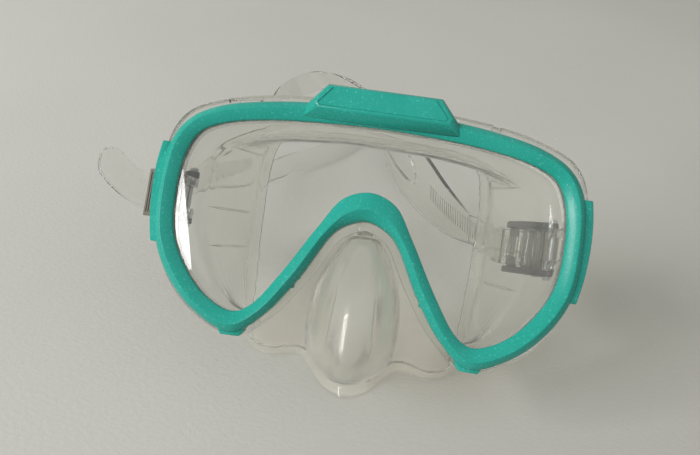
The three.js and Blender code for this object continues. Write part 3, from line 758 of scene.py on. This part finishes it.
def skirt_filler(name, inset, front, extra):
    """The room inside the skirt as a closed solid, a little larger than the wall's inner face."""
    rings = [at_station(LENS_OVERLAP - inset, front), *skirt_rings(inset, 16)]
    rings.append(rings[-1] + np.array([0, extra, 0]))
    return loft(name, rings, False)


def grid_normals(rings):
    """Unit normals of a grid of rings that closes on itself round each ring."""
    round_it = np.roll(rings, -1, axis=1) - np.roll(rings, 1, axis=1)
    along = np.gradient(rings, axis=0)
    return unit(np.cross(round_it, along))


def skirt_hoop():
    """The wall with its sealing edge and the soft lip that turns inward, as one closed hoop."""
    rings = skirt_rings(0, 26)
    seal, inward = seal_loop(0)
    wall = unit(rings[-1] - rings[-4])
    lip = []
    for across, beyond in LIP_PATH:
        lip.append(seal + inward * across + wall * beyond)
    front = at_station(LENS_OVERLAP, LENS_BACK + GAP)
    outer = np.concatenate([front[None], rings, lip])
    normals = grid_normals(outer)
    middle = outer[8].mean(axis=0)
    if np.sum((middle - outer[8]) * normals[8]) < 0:
        normals = -normals
    thick = np.full(len(outer), SKIRT_WALL)
    thick[-len(lip):] = np.linspace(SKIRT_WALL, LIP_TIP, len(lip))
    inner = outer + normals * thick[:, None, None]
    tip = 0.5 * (outer[-1] + inner[-1]) + 0.3 * unit(outer[-1] - outer[-2])
    section = np.concatenate([outer, tip[None], inner[::-1]])
    return loft("skirt_shell", section.transpose(1, 0, 2), True)


def nose_solid(name, inset):
    """The nose pocket as a closed solid, this much smaller than its outside."""
    rows = catmull(NOSE, False, [i / 42 for i in range(43)])
    sides = 72
    angles = TAU * np.arange(sides) / sides
    rings = []
    for k, (z, half, front, back) in enumerate(rows):
        mid, deep = (front + back) / 2, (back - front) / 2
        ends = (k == 0) * -inset + (k == len(rows) - 1) * inset
        x = (half - inset) * np.cos(angles)
        y = mid + (deep - inset) * np.sin(angles)
        rings.append(np.stack([x, y, np.full(sides, z + ends)], axis=1))
    return loft(name, rings, False)


CREASE = 0.45                    # how deep the two creases in the nose pocket are
CREASE_HALF = 0.9
CREASE_TOP, CREASE_LOW = -4, -50
CREASE_X, CREASE_X_AT = 4.4, -3.5        # their distance from the middle, and how far up that is
CREASE_FAN = 0.095               # how much further out they are for each mm down
CREASE_BACK = 14                 # they stay in front of this depth


def vertex_rows(mesh, name):
    flat = np.empty(len(mesh.vertices) * 3)
    mesh.vertices.foreach_get(name, flat)
    return flat.reshape(-1, 3)


def crease_pocket(mesh):
    """Two soft creases that fan down the front of the nose pocket."""
    points = (vertex_rows(mesh, "co") - ORIGIN) / MM @ AXES.T
    facing = -(vertex_rows(mesh, "normal") @ BACK)
    x, y, z = points.T
    line = CREASE_X + CREASE_FAN * (CREASE_X_AT - z)
    near = np.exp(-((np.abs(x) - line) / CREASE_HALF) ** 2)
    there = np.clip((CREASE_TOP - z) / 6, 0, 1) * np.clip((z - CREASE_LOW) / 10, 0, 1) * (y < CREASE_BACK)
    sink = CREASE * near * there * np.clip(facing, 0, 1)
    moved = points + np.stack([np.zeros_like(sink), sink, np.zeros_like(sink)], axis=1)
    mesh.vertices.foreach_set("co", place(moved).ravel())


RIB_STEPS = 40
RIB_SIDES = 10
RIB_HALF = 0.5
RIB_HEIGHT = 0.42
RIB_TAPER = 9                    # a rib's ends thin out over this many steps
BESIDE_MASK = 95                 # x, in mm, outside every piece of the skirt


def rib_route(skirt_tree, side, start, end):
    """Places on the outside of the skirt's side wall, and the wall's normals there."""
    path, normals = [], []
    for k in range(RIB_STEPS + 1):
        w = k / RIB_STEPS
        depth, up = [a + (b - a) * w for a, b in zip(start, end)]
        origin = Vector(place([side * BESIDE_MASK, depth, up]))
        hit, normal, _, _ = skirt_tree.ray_cast(origin, Vector((-side, 0, 0)))
        if hit is not None:
            path.append(np.array(hit))
            normals.append(np.array(normal))
    return np.array(path), np.array(normals)


def wall_rib(skirt_tree, side, start, end):
    """A thin rounded rib along the outside of the skirt's side wall."""
    path, normals = rib_route(skirt_tree, side, start, end)
    across = unit(np.cross(unit(np.gradient(path, axis=0)), normals))
    rings = []
    for k in range(len(path)):
        taper = min(1, (k + 1) / RIB_TAPER, (len(path) - k) / RIB_TAPER)
        for x, y in circle(0, 0, 1, RIB_SIDES):
            offset = across[k] * RIB_HALF * x + normals[k] * RIB_HEIGHT * y
            rings.append(path[k] + MM * taper * offset)
    return make_object("rib", rings, loft_faces(len(path), RIB_SIDES, False))


def joined_pieces(name, pieces):
    """Several closed meshes as one object."""
    built = bmesh.new()
    for piece in pieces:
        built.from_mesh(piece.data)
        bpy.data.objects.remove(piece)
    mesh = bpy.data.meshes.new(name)
    built.to_mesh(mesh)
    built.free()
    mesh.polygons.foreach_set("use_smooth", [True] * len(mesh.polygons))
    return linked(name, mesh)


VOXEL = 0.7


def make_skirt():
    """The wall, the nose pocket and the lip as one even mesh, with ribs along its sides."""
    nose = combine(nose_solid("nose", 0), nose_solid("nose_hollow", SKIRT_WALL), "DIFFERENCE")
    combine(nose, skirt_filler("room", SKIRT_WALL - 0.4, LENS_BACK, 12), "DIFFERENCE")
    shell = skirt_hoop()
    combine(shell, nose_solid("nose_cut", SKIRT_WALL), "DIFFERENCE")
    combine(shell, nose, "UNION")
    voxels = shell.modifiers.new("even", "REMESH")
    voxels.mode = "VOXEL"
    voxels.voxel_size = VOXEL * MM
    relax = shell.modifiers.new("relax", "SMOOTH")
    relax.factor = 0.5
    relax.iterations = 10
    baked(shell)
    crease_pocket(shell.data)
    shell.data.polygons.foreach_set("use_smooth", [True] * len(shell.data.polygons))
    finished(shell, SKIRT, nodes=("skirt",))
    tree = BVHTree.FromObject(shell, bpy.context.evaluated_depsgraph_get())
    ribs = [wall_rib(tree, side, start, end) for side in (1, -1) for start, end in RIBS]
    finished(joined_pieces("skirt_ribs", ribs), SKIRT)
    return shell


# ---------- strap ----------

STRAP_THICK = 2
STRAP_WIDTH = 15
BAND_WIDTH = 13                  # each of the two bands of the split rear part
WEB_THICK = 1.5                  # between the beads along the edges
BEAD_WIDTH = 1.3
EDGE_ROUND = 0.5
TOOTH_PITCH = 1.7
TOOTH_HEIGHT = 0.32
TOOTH_HALF = 4.8                 # the teeth reach this far each side of the middle
TOOTH_RUN = 0.13                 # part of the rear strap, from each end, that carries teeth
TEETH_PAST = 9                   # teeth are counted from this far past an end, so they are whole there
SLOT_FROM, SLOT_TO = 6 / 42, 34 / 42
SLOT_ROUND = 0.045
TIP_ROUND = 8.5                  # the free end is rounded over this length
TIP_HALF = 2.4                   # down to this half width
TIP_PLAIN = 10                   # and has no teeth here
# The rear strap's two edges, and the middles of the arms and tails, as they lie at rest:
# [x, y, z] in mm from the table point below the lens's centre.
YOKE_LOWER = [
    [-79, 60, 30], [-72, 80, 17], [-62, 100, 7], [-49, 120, 2], [-34, 133, 1], [-20, 149, 1],
    [-10, 166, 1], [-3, 174, 1], [2, 163, 1], [5, 144, 1], [12, 124, 1], [22, 107, 1.5],
    [33, 91, 3], [43, 76, 8], [51.5, 63, 16],
]
YOKE_UPPER = [
    [-79, 67, 43], [-73, 81, 44], [-67, 98, 45], [-66, 122, 45], [-65, 146, 44], [-58, 165, 43],
    [-47, 175, 42.5], [-33, 174, 42], [-19, 164, 42], [-7, 150, 42.5], [4, 132, 43], [14, 114, 44],
    [25, 94, 43], [36, 79, 38], [49, 69, 30],
]
ARM = {
    "left": [[-83, 56, 38.5], [-90, 49, 40], [-95, 40, 42.5], [-94.5, 33.5, 45]],
    "right": [[55.5, 57, 28], [57.3, 48.5, 32.8], [57.2, 41, 37.8], [57.5, 35, 42.6]],
}
TAIL = {
    "left": [[-102, 31, 49.5], [-113, 38, 50], [-124, 47, 53.5]],
    "right": [[63, 40, 38.5], [61.5, 47, 33.5], [60.5, 54, 29]],
}
# In the buckle's own axes, in mm from its hinge: along it, out of its face, and across it.
ROLLER_AT = (10.5, -1)
ROLLER_R = 2.4
STRAP_EXIT_X = 20.5              # where the strap enters and leaves
WRAP_R = ROLLER_R + GAP + STRAP_THICK / 2
SWING = {"left": math.radians(60), "right": math.radians(-35)}
SIDE = {"left": -1, "right": 1}


def from_rest(points):
    """Points in mm about the foot of the lens's centre, as row-frame points in metres."""
    return ORIGIN + MM * (np.asarray(points, float) - [0, 0, LENS_HEIGHT])


def on_buckle(label, points):
    """Buckle points [along, out, across] in mm as row-frame points in metres."""
    side, swing = SIDE[label], SWING[label]
    along = np.array([side * math.sin(swing), math.cos(swing), 0])
    out = np.array([side * math.cos(swing), -math.sin(swing), 0])
    across = np.array([0, 0, -side])
    hinge = np.array([side * HINGE[0], HINGE[1], HINGE[2]])
    return place(hinge + np.asarray(points, float) @ np.stack([along, out, across]))


def smooth_step(x):
    x = np.clip(x, 0, 1)
    return x * x * (3 - 2 * x)


def teeth(run, beside, start, stop):
    """Height of the moulded teeth at a place along the strap and beside its middle."""
    wave = np.clip(1.8 * np.sin(TAU * run / TOOTH_PITCH), -1, 1) * 0.5 + 0.5
    ends = smooth_step((run - start) / 2) * smooth_step((stop - run) / 2)
    return TOOTH_HEIGHT * wave * ends * smooth_step((TOOTH_HALF - np.abs(beside)) / 0.6)


def strap_columns(half):
    """Distances from the middle at which the strap's thickness is set, closer together at the edges."""
    edge = np.array([0, 0.06, 0.16, 0.32, 0.5, 0.8, 1.1, 1.4, 1.8])
    inner = np.linspace(-(half - 2.3), half - 2.3, 40)
    return np.concatenate([-half + edge, inner, (half - edge)[::-1]])


def squared(across, middles):
    """The across directions turned square to the run of the strap."""
    along = unit(np.gradient(middles, axis=0))
    return unit(across - np.sum(across * along, axis=1)[:, None] * along)


def strap_mesh(name, middles, across, halves, tooth_height, slot_gap=None):
    """A flat moulded strap: thin web, a bead along every edge, and teeth on one face.
    Middles are row points; tooth_height(run, beside) and slot_gap(k, beside) work in mm."""
    along = unit(np.gradient(middles, axis=0))
    out = unit(np.cross(across, along))
    run = distances_along(middles)
    rings = []
    for k in range(len(middles)):
        beside = strap_columns(halves[k])
        room = halves[k] - np.abs(beside)
        if slot_gap is not None:
            room = np.minimum(room, slot_gap(k, beside))
        bead = smooth_step((BEAD_WIDTH - room) / (0.5 * BEAD_WIDTH))
        thick = WEB_THICK + (STRAP_THICK - WEB_THICK) * bead
        rounding = np.sqrt(1 - (1 - np.clip(room / EDGE_ROUND, 0.04, 1)) ** 2)
        low = -0.5 * thick * rounding
        high = 0.5 * thick * rounding + tooth_height(run[k], beside)
        base = middles[k] + MM * beside[:, None] * across[k]
        face, rear = base + MM * high[:, None] * out[k], base + MM * low[:, None] * out[k]
        rings.append(np.concatenate([face, rear[::-1]]))
    rings = np.array(rings)
    faces = loft_faces(len(rings), rings.shape[1], False)
    return smooth_by_angle(make_object(name, rings.reshape(-1, 3), faces), 50)


def yoke_parameters():
    """Places along the rear strap, closer together where there are teeth."""
    ends = np.linspace(0, TOOTH_RUN + 0.02, 130)
    middle = np.linspace(ends[-1], 1 - ends[-1], 150)[1:-1]
    return np.concatenate([ends, middle, (1 - ends)[::-1]])


def slot_half(ts, halves):
    """Half the height of the slot between the two bands, with rounded ends."""
    edge = np.minimum(ts - SLOT_FROM, SLOT_TO - ts) / SLOT_ROUND
    return (halves - BAND_WIDTH) * np.sqrt(np.clip(1 - (1 - np.clip(edge, 0, 1)) ** 2, 0, 1))


def slot_cutter(inside, middles, across, openings):
    """What the slot takes out of the rear strap, as a closed solid along the places inside it."""
    out = unit(np.cross(across, np.gradient(middles, axis=0)))
    verts = []
    for k in inside:
        reach = MM * max(openings[k], 0.05) * across[k]
        deep = MM * 2 * STRAP_THICK * out[k]
        verts += [middles[k] + reach + deep, middles[k] - reach + deep]
        verts += [middles[k] - reach - deep, middles[k] + reach - deep]
    return make_object("slot", verts, loft_faces(len(inside), 4, False), False)


def make_yoke():
    """The split rear part of the strap, with teeth near both ends."""
    ts = yoke_parameters()
    low = from_rest(catmull(YOKE_LOWER, False, ts))
    high = from_rest(catmull(YOKE_UPPER, False, ts))
    middles = (low + high) / 2
    halves = np.linalg.norm(high - low, axis=1) / 2 / MM
    across = unit(high - low)
    length = distances_along(middles)[-1]
    openings = slot_half(ts, halves)
    outside = np.maximum(np.maximum(SLOT_FROM - ts, ts - SLOT_TO), 0) * length

    def slot_gap(k, beside):
        return np.hypot(np.abs(np.abs(beside) - openings[k]), outside[k]) + 1e-3

    def tooth_height(run, beside):
        span = TOOTH_RUN * length
        first = teeth(run, beside, -TEETH_PAST, span)
        return first + teeth(run, beside, length - span, length + TEETH_PAST)

    yoke = strap_mesh("strap_rear", middles, across, halves, tooth_height, slot_gap)
    inside = np.flatnonzero((ts > SLOT_FROM) & (ts < SLOT_TO))
    combine(yoke, slot_cutter(inside, middles, across, openings), "DIFFERENCE")
    smooth_by_angle(yoke, 50)
    return finished(yoke, STRAP, nodes=("strap_yoke",))


def yoke_end(label):
    """The middle of one end of the rear strap, and the direction across it."""
    index = 0 if label == "left" else -1
    low, high = np.array(YOKE_LOWER[index]), np.array(YOKE_UPPER[index])
    return (low + high) / 2, unit((high - low)[None])[0]


def teeth_until(stop):
    def tooth_height(run, beside):
        return teeth(run, beside, -TEETH_PAST, stop)

    return tooth_height


def make_arm(label):
    """From the rear strap into the buckle."""
    middle, across_start = yoke_end(label)
    entry = on_buckle(label, [STRAP_EXIT_X, ROLLER_AT[1] - WRAP_R, 0])
    keys = np.concatenate([from_rest([middle, *ARM[label]]), entry[None]])
    ts = np.linspace(0, 1, 110)
    middles = catmull(keys / MM, False, ts) * MM
    across = unit(across_start + (UP - across_start) * ts[:, None])
    halves = np.full(len(ts), STRAP_WIDTH / 2)
    arm = strap_mesh("strap_arm_" + label, middles, across, halves, teeth_until(math.inf))
    finished(arm, STRAP, body=None, nodes=("strap_arm_" + label,))
    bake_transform(arm)
    return arm


def route_in_buckle():
    """The strap's middle: in along the low side, round the roller and back out."""
    (x, y), reach = ROLLER_AT, STRAP_EXIT_X - ROLLER_AT[0]
    angles = -math.pi / 2 - math.pi * np.linspace(0, 1, 40)
    entering = [[STRAP_EXIT_X - w * reach, y - WRAP_R, 0] for w in np.linspace(0, 0.98, 30)]
    wrap = [[x + WRAP_R * math.cos(a), y + WRAP_R * math.sin(a), 0] for a in angles]
    leaving = [[x + w * reach, y + WRAP_R, 0] for w in np.linspace(0.03, 0.98, 30)]
    return entering + wrap + leaving


def make_tail(label):
    """Round the roller, out of the buckle again and on to the free end."""
    exit_at = [STRAP_EXIT_X, ROLLER_AT[1] + WRAP_R, 0]
    keys = np.concatenate([on_buckle(label, exit_at)[None], from_rest(TAIL[label])])
    free = catmull(keys / MM, False, np.linspace(0, 1, 110)) * MM
    middles = np.concatenate([on_buckle(label, route_in_buckle()), free])
    run = distances_along(middles)
    tip = np.clip(1 - (run[-1] - run) / TIP_ROUND, 0, 1)
    halves = np.maximum(STRAP_WIDTH / 2 * np.sqrt(1 - tip ** 2), TIP_HALF)
    across = squared(np.broadcast_to(UP, middles.shape), middles)
    name = "strap_tail_" + label
    tail = strap_mesh(name, middles, across, halves, teeth_until(run[-1] - TIP_PLAIN))
    return finished(tail, STRAP, body="buckle_" + label)


# ---------- buckles ----------

CHEEK_INNER, CHEEK_OUTER = 8.2, 10.7
CHEEK_LOWER = [[8, -6.4], [17, -6.4], [20, -4], [20, 1], [15, 4.6], [7.2, 7.1]]
LEVER_PIN_AT = (5.5, 5.4)
LEVER_BOSS_R = 1.9
SMALL_PIN_R = 0.9
PIN_HEAD_R = 2.1
PIN_HEAD_THICK = 1.2
BAR = [[16.4, -3], [19, -3], [19, 1], [16.4, 1]]     # the cross bar at the strap's end
BAR_INSET = 0.5
POCKET_SHARE = 0.62              # the hollow in each cheek's outer face, as a part of the cheek
POCKET_AT = (14.2, -0.6)
POCKET_DEEP = 0.6
BORE_REACH = 15                  # each way from the middle, past what the bore goes through
LEVER_HALF = 9.8
LEVER_CORE_HALF = CHEEK_INNER - GAP
LEVER_CORE = [
    [1.2, 7.2], [3.4, 3.9], [7.4, 3.9], [8.6, 5.4], [9.8, 5.2], [10.5, 4.0], [11.2, 5.2], [15.6, 5.4],
    [15.6, 7.8], [1.2, 8.0],
]
LEVER_COVER = [[0.6, 7.7], [16.4, 7.4], [16.8, 8.2], [15.6, 9.0], [9, 9.5], [2, 9.9], [0.2, 9.2]]
GRIP_LINES = (9.6, 11.1, 12.6, 14.1)
GRIP_FLOOR, GRIP_FLOOR_HALF = 8.75, 0.28
GRIP_OPEN, GRIP_OPEN_HALF = 10.4, 0.5
GRIP_INSET = 1.6                 # the grip lines stop this far from the plate's sides
SPOOL_LINES = range(-6, 7)       # grooves round the roller, 1 mm apart
SPOOL_GROOVE = 0.18
SPOOL_CHAMFER = 0.3


def buckle_prism(label, name, outline, low, high):
    """An outline [along, out], carried across the buckle."""
    rings = [[[x, y, z] for x, y in outline] for z in (low, high)]
    rings = on_buckle(label, np.array(rings, float).reshape(-1, 3))
    return make_object(name, rings, loft_faces(2, len(outline), False), False)


def buckle_lathe(label, name, profile, where):
    """Turns a profile [radius, height] round an axis across the buckle."""
    rings = [[[x, y, z] for x, y in circle(*where, radius, 40)] for radius, z in profile]
    rings = on_buckle(label, np.array(rings, float).reshape(-1, 3))
    return make_object(name, rings, loft_faces(len(profile), 40, False))


def drilled(piece, label, radius, where, reach=BORE_REACH):
    """A piece with a bore across the buckle."""
    bore = buckle_lathe(label, "bore", [[radius, -reach], [radius, reach]], where)
    return combine(piece, bore, "DIFFERENCE")


def arc(where, radius, angles):
    return [[where[0] + radius * math.cos(a), where[1] + radius * math.sin(a)] for a in angles]


def cheek_outline():
    """From under the strap's end round the lever's boss to the hinge barrel."""
    boss = arc(LEVER_PIN_AT, LEVER_BOSS_R, np.linspace(0.9, math.pi, 12))
    return CHEEK_LOWER + boss + arc((0, 0), BARREL_R, np.linspace(math.pi / 2, 1.5 * math.pi, 20))


def shrunk(outline, share, centre):
    return [[centre[0] + share * (x - centre[0]), centre[1] + share * (y - centre[1])] for x, y in outline]


def make_buckle_body(label):
    """Two hollowed cheeks and the cross bar between them, bored for three pins."""
    body = None
    pocket = shrunk(CHEEK_LOWER, POCKET_SHARE, POCKET_AT)
    for face in (1, -1):
        low, high = sorted((face * CHEEK_INNER, face * CHEEK_OUTER))
        cheek = bevel(buckle_prism(label, "cheek", cheek_outline(), low, high), 0.4, 3, 30)
        low, high = sorted((face * CHEEK_OUTER - face * POCKET_DEEP, face * CHEEK_OUTER + face))
        combine(cheek, buckle_prism(label, "pocket", pocket, low, high), "DIFFERENCE")
        body = cheek if body is None else combine(body, cheek, "UNION")
    half = CHEEK_OUTER - BAR_INSET
    combine(body, bevel(buckle_prism(label, "bar", BAR, -half, half), 0.7, 3, 30), "UNION")
    drilled(body, label, PIN_R + GAP, (0, 0))
    drilled(body, label, SMALL_PIN_R + GAP, ROLLER_AT)
    drilled(body, label, SMALL_PIN_R + GAP, LEVER_PIN_AT)
    body.name = "buckle_shell_" + label
    smooth_by_angle(body, 35)
    return finished(body, BLACK, "buckle_" + label, ("buckle_body_" + label,))


def make_lever(label):
    """The press plate over its core, whose tooth holds the strap."""
    cover = buckle_prism(label, "cover", LEVER_COVER, -LEVER_HALF, LEVER_HALF)
    cover = bevel(cover, 0.45, 3, 20)
    core = buckle_prism(label, "core", LEVER_CORE, -LEVER_CORE_HALF, LEVER_CORE_HALF)
    combine(cover, bevel(core, 0.2, 2, 30), "UNION")
    half = LEVER_HALF - GRIP_INSET
    for at in GRIP_LINES:
        groove = [[at - GRIP_FLOOR_HALF, GRIP_FLOOR], [at + GRIP_FLOOR_HALF, GRIP_FLOOR],
                  [at + GRIP_OPEN_HALF, GRIP_OPEN], [at - GRIP_OPEN_HALF, GRIP_OPEN]]
        combine(cover, buckle_prism(label, "groove", groove, -half, half), "DIFFERENCE")
    drilled(cover, label, SMALL_PIN_R + GAP, LEVER_PIN_AT, LEVER_HALF + 1)
    cover.name = "press_plate_" + label
    smooth_by_angle(cover, 35)
    return finished(cover, GREY, "press_lever_" + label, ("lever_" + label,))


def make_roller(label):
    end, low = LEVER_CORE_HALF, ROLLER_R - SPOOL_GROOVE
    profile = [[ROLLER_R - SPOOL_CHAMFER, -end], [ROLLER_R, -end + SPOOL_CHAMFER]]
    for at in SPOOL_LINES:
        profile += [[ROLLER_R, at - 0.22], [low, at - 0.1], [low, at + 0.1], [ROLLER_R, at + 0.22]]
    profile += [[ROLLER_R, end - SPOOL_CHAMFER], [ROLLER_R - SPOOL_CHAMFER, end]]
    roller = buckle_lathe(label, "wrap_spool_" + label, profile, ROLLER_AT)
    drilled(roller, label, SMALL_PIN_R + GAP, ROLLER_AT)
    smooth_by_angle(roller, 35)
    return finished(roller, BLACK, "wrap_roller_" + label, ("roller_" + label,))


def make_small_pin(label, which, where):
    half = [[SMALL_PIN_R, CHEEK_OUTER - 0.2], [SMALL_PIN_R - 0.25, CHEEK_OUTER]]
    profile = [[r, -z] for r, z in reversed(half)] + half
    pin = buckle_lathe(label, "%s_axle_%s" % (which, label), profile, where)
    smooth_by_angle(pin, 35)
    return finished(pin, STEEL, "buckle_" + label, ("%s_pin_%s" % (which, label),))


def make_hinge_pin(label):
    top = CHEEK_OUTER + GAP
    end = top + PIN_HEAD_THICK
    half = [[PIN_R, top], [PIN_HEAD_R, top], [PIN_HEAD_R, end - 0.4], [PIN_HEAD_R - 0.15, end - 0.12],
            [PIN_HEAD_R - 0.5, end], [0.5, end + 0.05]]
    profile = [[r, -z] for r, z in reversed(half)] + half
    pin = buckle_lathe(label, "hinge_axle_" + label, profile, (0, 0))
    smooth_by_angle(pin, 35)
    return finished(pin, STEEL, nodes=("hinge_pin_" + label,))


def make_side(label):
    make_arm(label)
    make_tail(label)
    make_buckle_body(label)
    make_lever(label)
    make_roller(label)
    make_small_pin(label, "roller", ROLLER_AT)
    make_small_pin(label, "lever", LEVER_PIN_AT)
    make_hinge_pin(label)


# ---------- stage ----------


STAGE_HALF = 3.0                 # metres: half the floor's width, and its length towards the camera
STAGE_FLAT = 1.0                 # it is flat this far back, then bends up with this radius
STAGE_BEND = 0.5
STAGE_RISE = 1.6
FLOOR_DARK = (0.535, 0.53, 0.49)
FLOOR_LIGHT = (0.57, 0.565, 0.525)
TO_PAINTED_SHADOW = (0.72, -0.69, 0)     # towards the painted shadow in the floor's near right corner
FLOOR_PAINTED_SHADOW_FROM, FLOOR_PAINTED_SHADOW_TO = 0.06, 0.30      # metres that way
# Painted shadow: the paper's colour is multiplied by these, darker towards the floor's near right corner.
FLOOR_PAINTED_SHADOW = [(0.0, (1, 1, 1)), (0.5, (0.88, 0.87, 0.86)), (1.0, (0.62, 0.61, 0.61))]

# Lamps, in metres and watts. The window stands to the left, the fill above on the right.
WORLD_COLOUR = (0.95, 0.96, 0.95)
WORLD_POWER = 0.46
WINDOW_AT, WINDOW_TARGET = (-1.6, -0.75, 1.2), (0, 0, 0.05)
WINDOW_SIZE = (0.8, 1.0)
WINDOW_COLOUR = (1.0, 0.99, 0.97)
WINDOW_POWER = 37
FILL_AT, FILL_TARGET = (0.9, -0.5, 1.6), (0, 0, 0)
FILL_SIZE = (1.6, 1.2)
FILL_COLOUR = (1.0, 0.97, 0.93)
FILL_POWER = 2.5
WHITE = (1, 1, 1)
GLINT_AT = (-0.698, -0.874, 0.888)
GLINT_SIZE = (0.5, 0.27)
GLINT_POWER = 5
GLINT_ACROSS = (0.918, -0.044, 0.388)
GLINT_UP = (-0.218, 0.768, 0.602)
STREAK_AT = (0.02, -0.09, 0.05)  # the place on the nose pocket that the tubes face
STREAK_FROM = (-0.366, -0.58, 1.19)
STREAK_TO = (-0.366, -1.24, 0.40)
STREAK_WIDTH = 0.012
STREAK_SHIFTS = (-0.06, 0.06)
STREAK_POWER = 2.2

SENSOR_WIDTH = 36
FOCAL_LENGTH = SENSOR_WIDTH * 11 / 14
CAMERA_AT = (0.0249, -0.2146, 0.2041)
CAMERA_VIEW = (-0.046, 0.7424, -0.6684)
CAMERA_UP = (-0.1456, 0.6570, 0.7397)


def floor_paper_painted_shadow():
    """Pale paper with a fine weave, and a painted shadow that dims it towards its near right corner."""
    material, nodes, links, shader = new_material("floor_paper_painted_shadow")
    cloud = noise(nodes, links, 3, 3)
    paper = ramp(nodes, links, cloud, [(0.35, FLOOR_DARK), (0.65, FLOOR_LIGHT)])
    # Painted shadow: how far a point lies towards the near right corner, for darkening the paper there.
    reach = remap(nodes, links, measured_along(nodes, links, TO_PAINTED_SHADOW), 0, 1, FLOOR_PAINTED_SHADOW_FROM, FLOOR_PAINTED_SHADOW_TO)
    shade, first, second, result = colour_mix(nodes, "MULTIPLY")
    shade.inputs["Factor"].default_value = 1
    links.new(paper, first)
    links.new(ramp(nodes, links, reach, FLOOR_PAINTED_SHADOW), second)
    links.new(result, shader.inputs["Base Color"])
    shader.inputs["Roughness"].default_value = 0.8
    weave = noise(nodes, links, 420, 3, stretch=(1, 1.6, 1))
    links.new(bump(nodes, links, [(weave, 1.0)], 0.35, 0.5), shader.inputs["Normal"])
    return material


def make_stage():
    """A floor that bends up into a wall behind the mask."""
    profile = [[-STAGE_HALF, 0], [STAGE_FLAT, 0]]
    for k in range(1, 13):
        angle = math.pi / 2 * k / 12
        rise = STAGE_BEND * (1 - math.cos(angle))
        profile.append([STAGE_FLAT + STAGE_BEND * math.sin(angle), rise])
    profile.append([STAGE_FLAT + STAGE_BEND, STAGE_RISE])
    verts = [(x, y, z) for y, z in profile for x in (-STAGE_HALF, STAGE_HALF)]
    faces = [(2 * i, 2 * i + 1, 2 * i + 3, 2 * i + 2) for i in range(len(profile) - 1)]
    mesh = bpy.data.meshes.new("floor")
    mesh.from_pydata(verts, [], faces)
    mesh.polygons.foreach_set("use_smooth", [True] * len(faces))
    mesh.materials.append(floor_paper_painted_shadow())
    linked("floor", mesh)


def stand(obj, at, across, upward, away):
    """Puts a lamp or the camera at a place, with its own axes along these directions."""
    rotation = Matrix((across, upward, away)).transposed()
    obj.matrix_world = Matrix.Translation(at) @ rotation.to_4x4()


def lamp(name, size, power, colour):
    data = bpy.data.lights.new(name, "AREA")
    data.shape = "RECTANGLE"
    data.size, data.size_y = size
    data.energy = power
    data.color = colour
    return linked(name, data)


def aimed_lamp(name, at, target, size, power, colour):
    light = lamp(name, size, power, colour)
    light.location = at
    light.rotation_euler = (Vector(target) - Vector(at)).to_track_quat("-Z", "Y").to_euler()
    light.visible_glossy = False
    return light


def lit_only(name, pieces):
    """A collection for lamps that light only these pieces."""
    group = bpy.data.collections.new(name)
    for piece in pieces:
        group.objects.link(piece)
    return group


def window_glint(pieces):
    """A small bright pane whose mirror image stands along the left edge of the lens."""
    light = lamp("window_glint", GLINT_SIZE, GLINT_POWER, WHITE)
    across = Vector(GLINT_ACROSS).normalized()
    away = across.cross(Vector(GLINT_UP)).normalized()
    stand(light, GLINT_AT, across, away.cross(across), away)
    light.light_linking.receiver_collection = lit_only("glint_lit", pieces)


def pocket_streaks(skirt):
    """Two narrow tubes that light only the skirt, for the bright streak down the nose pocket."""
    lit = lit_only("streak_lit", [skirt])
    start, end = Vector(STREAK_FROM), Vector(STREAK_TO)
    upward = (start - end).normalized()
    for shift in STREAK_SHIFTS:
        light = lamp("tube", (STREAK_WIDTH, (start - end).length), STREAK_POWER, WHITE)
        middle = (start + end) / 2 + Vector((shift, 0, 0))
        across = upward.cross((middle - Vector(STREAK_AT)).normalized()).normalized()
        stand(light, middle, across, upward, across.cross(upward))
        light.light_linking.receiver_collection = lit


def make_lights(front, skirt):
    world = bpy.data.worlds.new("room")
    bpy.context.scene.world = world
    world.use_nodes = True
    set_inputs(world.node_tree.nodes["Background"], {"Color": (*WORLD_COLOUR, 1), "Strength": WORLD_POWER})
    window = aimed_lamp("window", WINDOW_AT, WINDOW_TARGET, WINDOW_SIZE, WINDOW_POWER, WINDOW_COLOUR)
    window.visible_transmission = False
    aimed_lamp("fill", FILL_AT, FILL_TARGET, FILL_SIZE, FILL_POWER, FILL_COLOUR)
    window_glint(front)
    pocket_streaks(skirt)


def make_camera():
    data = bpy.data.cameras.new("camera")
    data.sensor_width = SENSOR_WIDTH
    data.lens = FOCAL_LENGTH
    data.clip_start = 0.01
    camera = linked("camera", data)
    view = Vector(CAMERA_VIEW).normalized()
    right = view.cross(Vector(CAMERA_UP).normalized()).normalized()
    stand(camera, CAMERA_AT, right, right.cross(view), -view)
    bpy.context.scene.camera = camera


def make_all():
    front = [make_lens(), make_bezel(), make_brow(), make_frame()]
    skirt = make_skirt()
    make_yoke()
    for label in ("left", "right"):
        make_side(label)
    return front, skirt


# Light passes many clear walls before it reaches the camera, so it may bounce often.
bpy.context.scene.view_settings.view_transform = "Standard"
bpy.context.scene.cycles.max_bounces = 32
bpy.context.scene.cycles.transmission_bounces = 24
bpy.context.scene.cycles.transparent_max_bounces = 32
make_camera()
make_stage()
make_lights(*make_all())
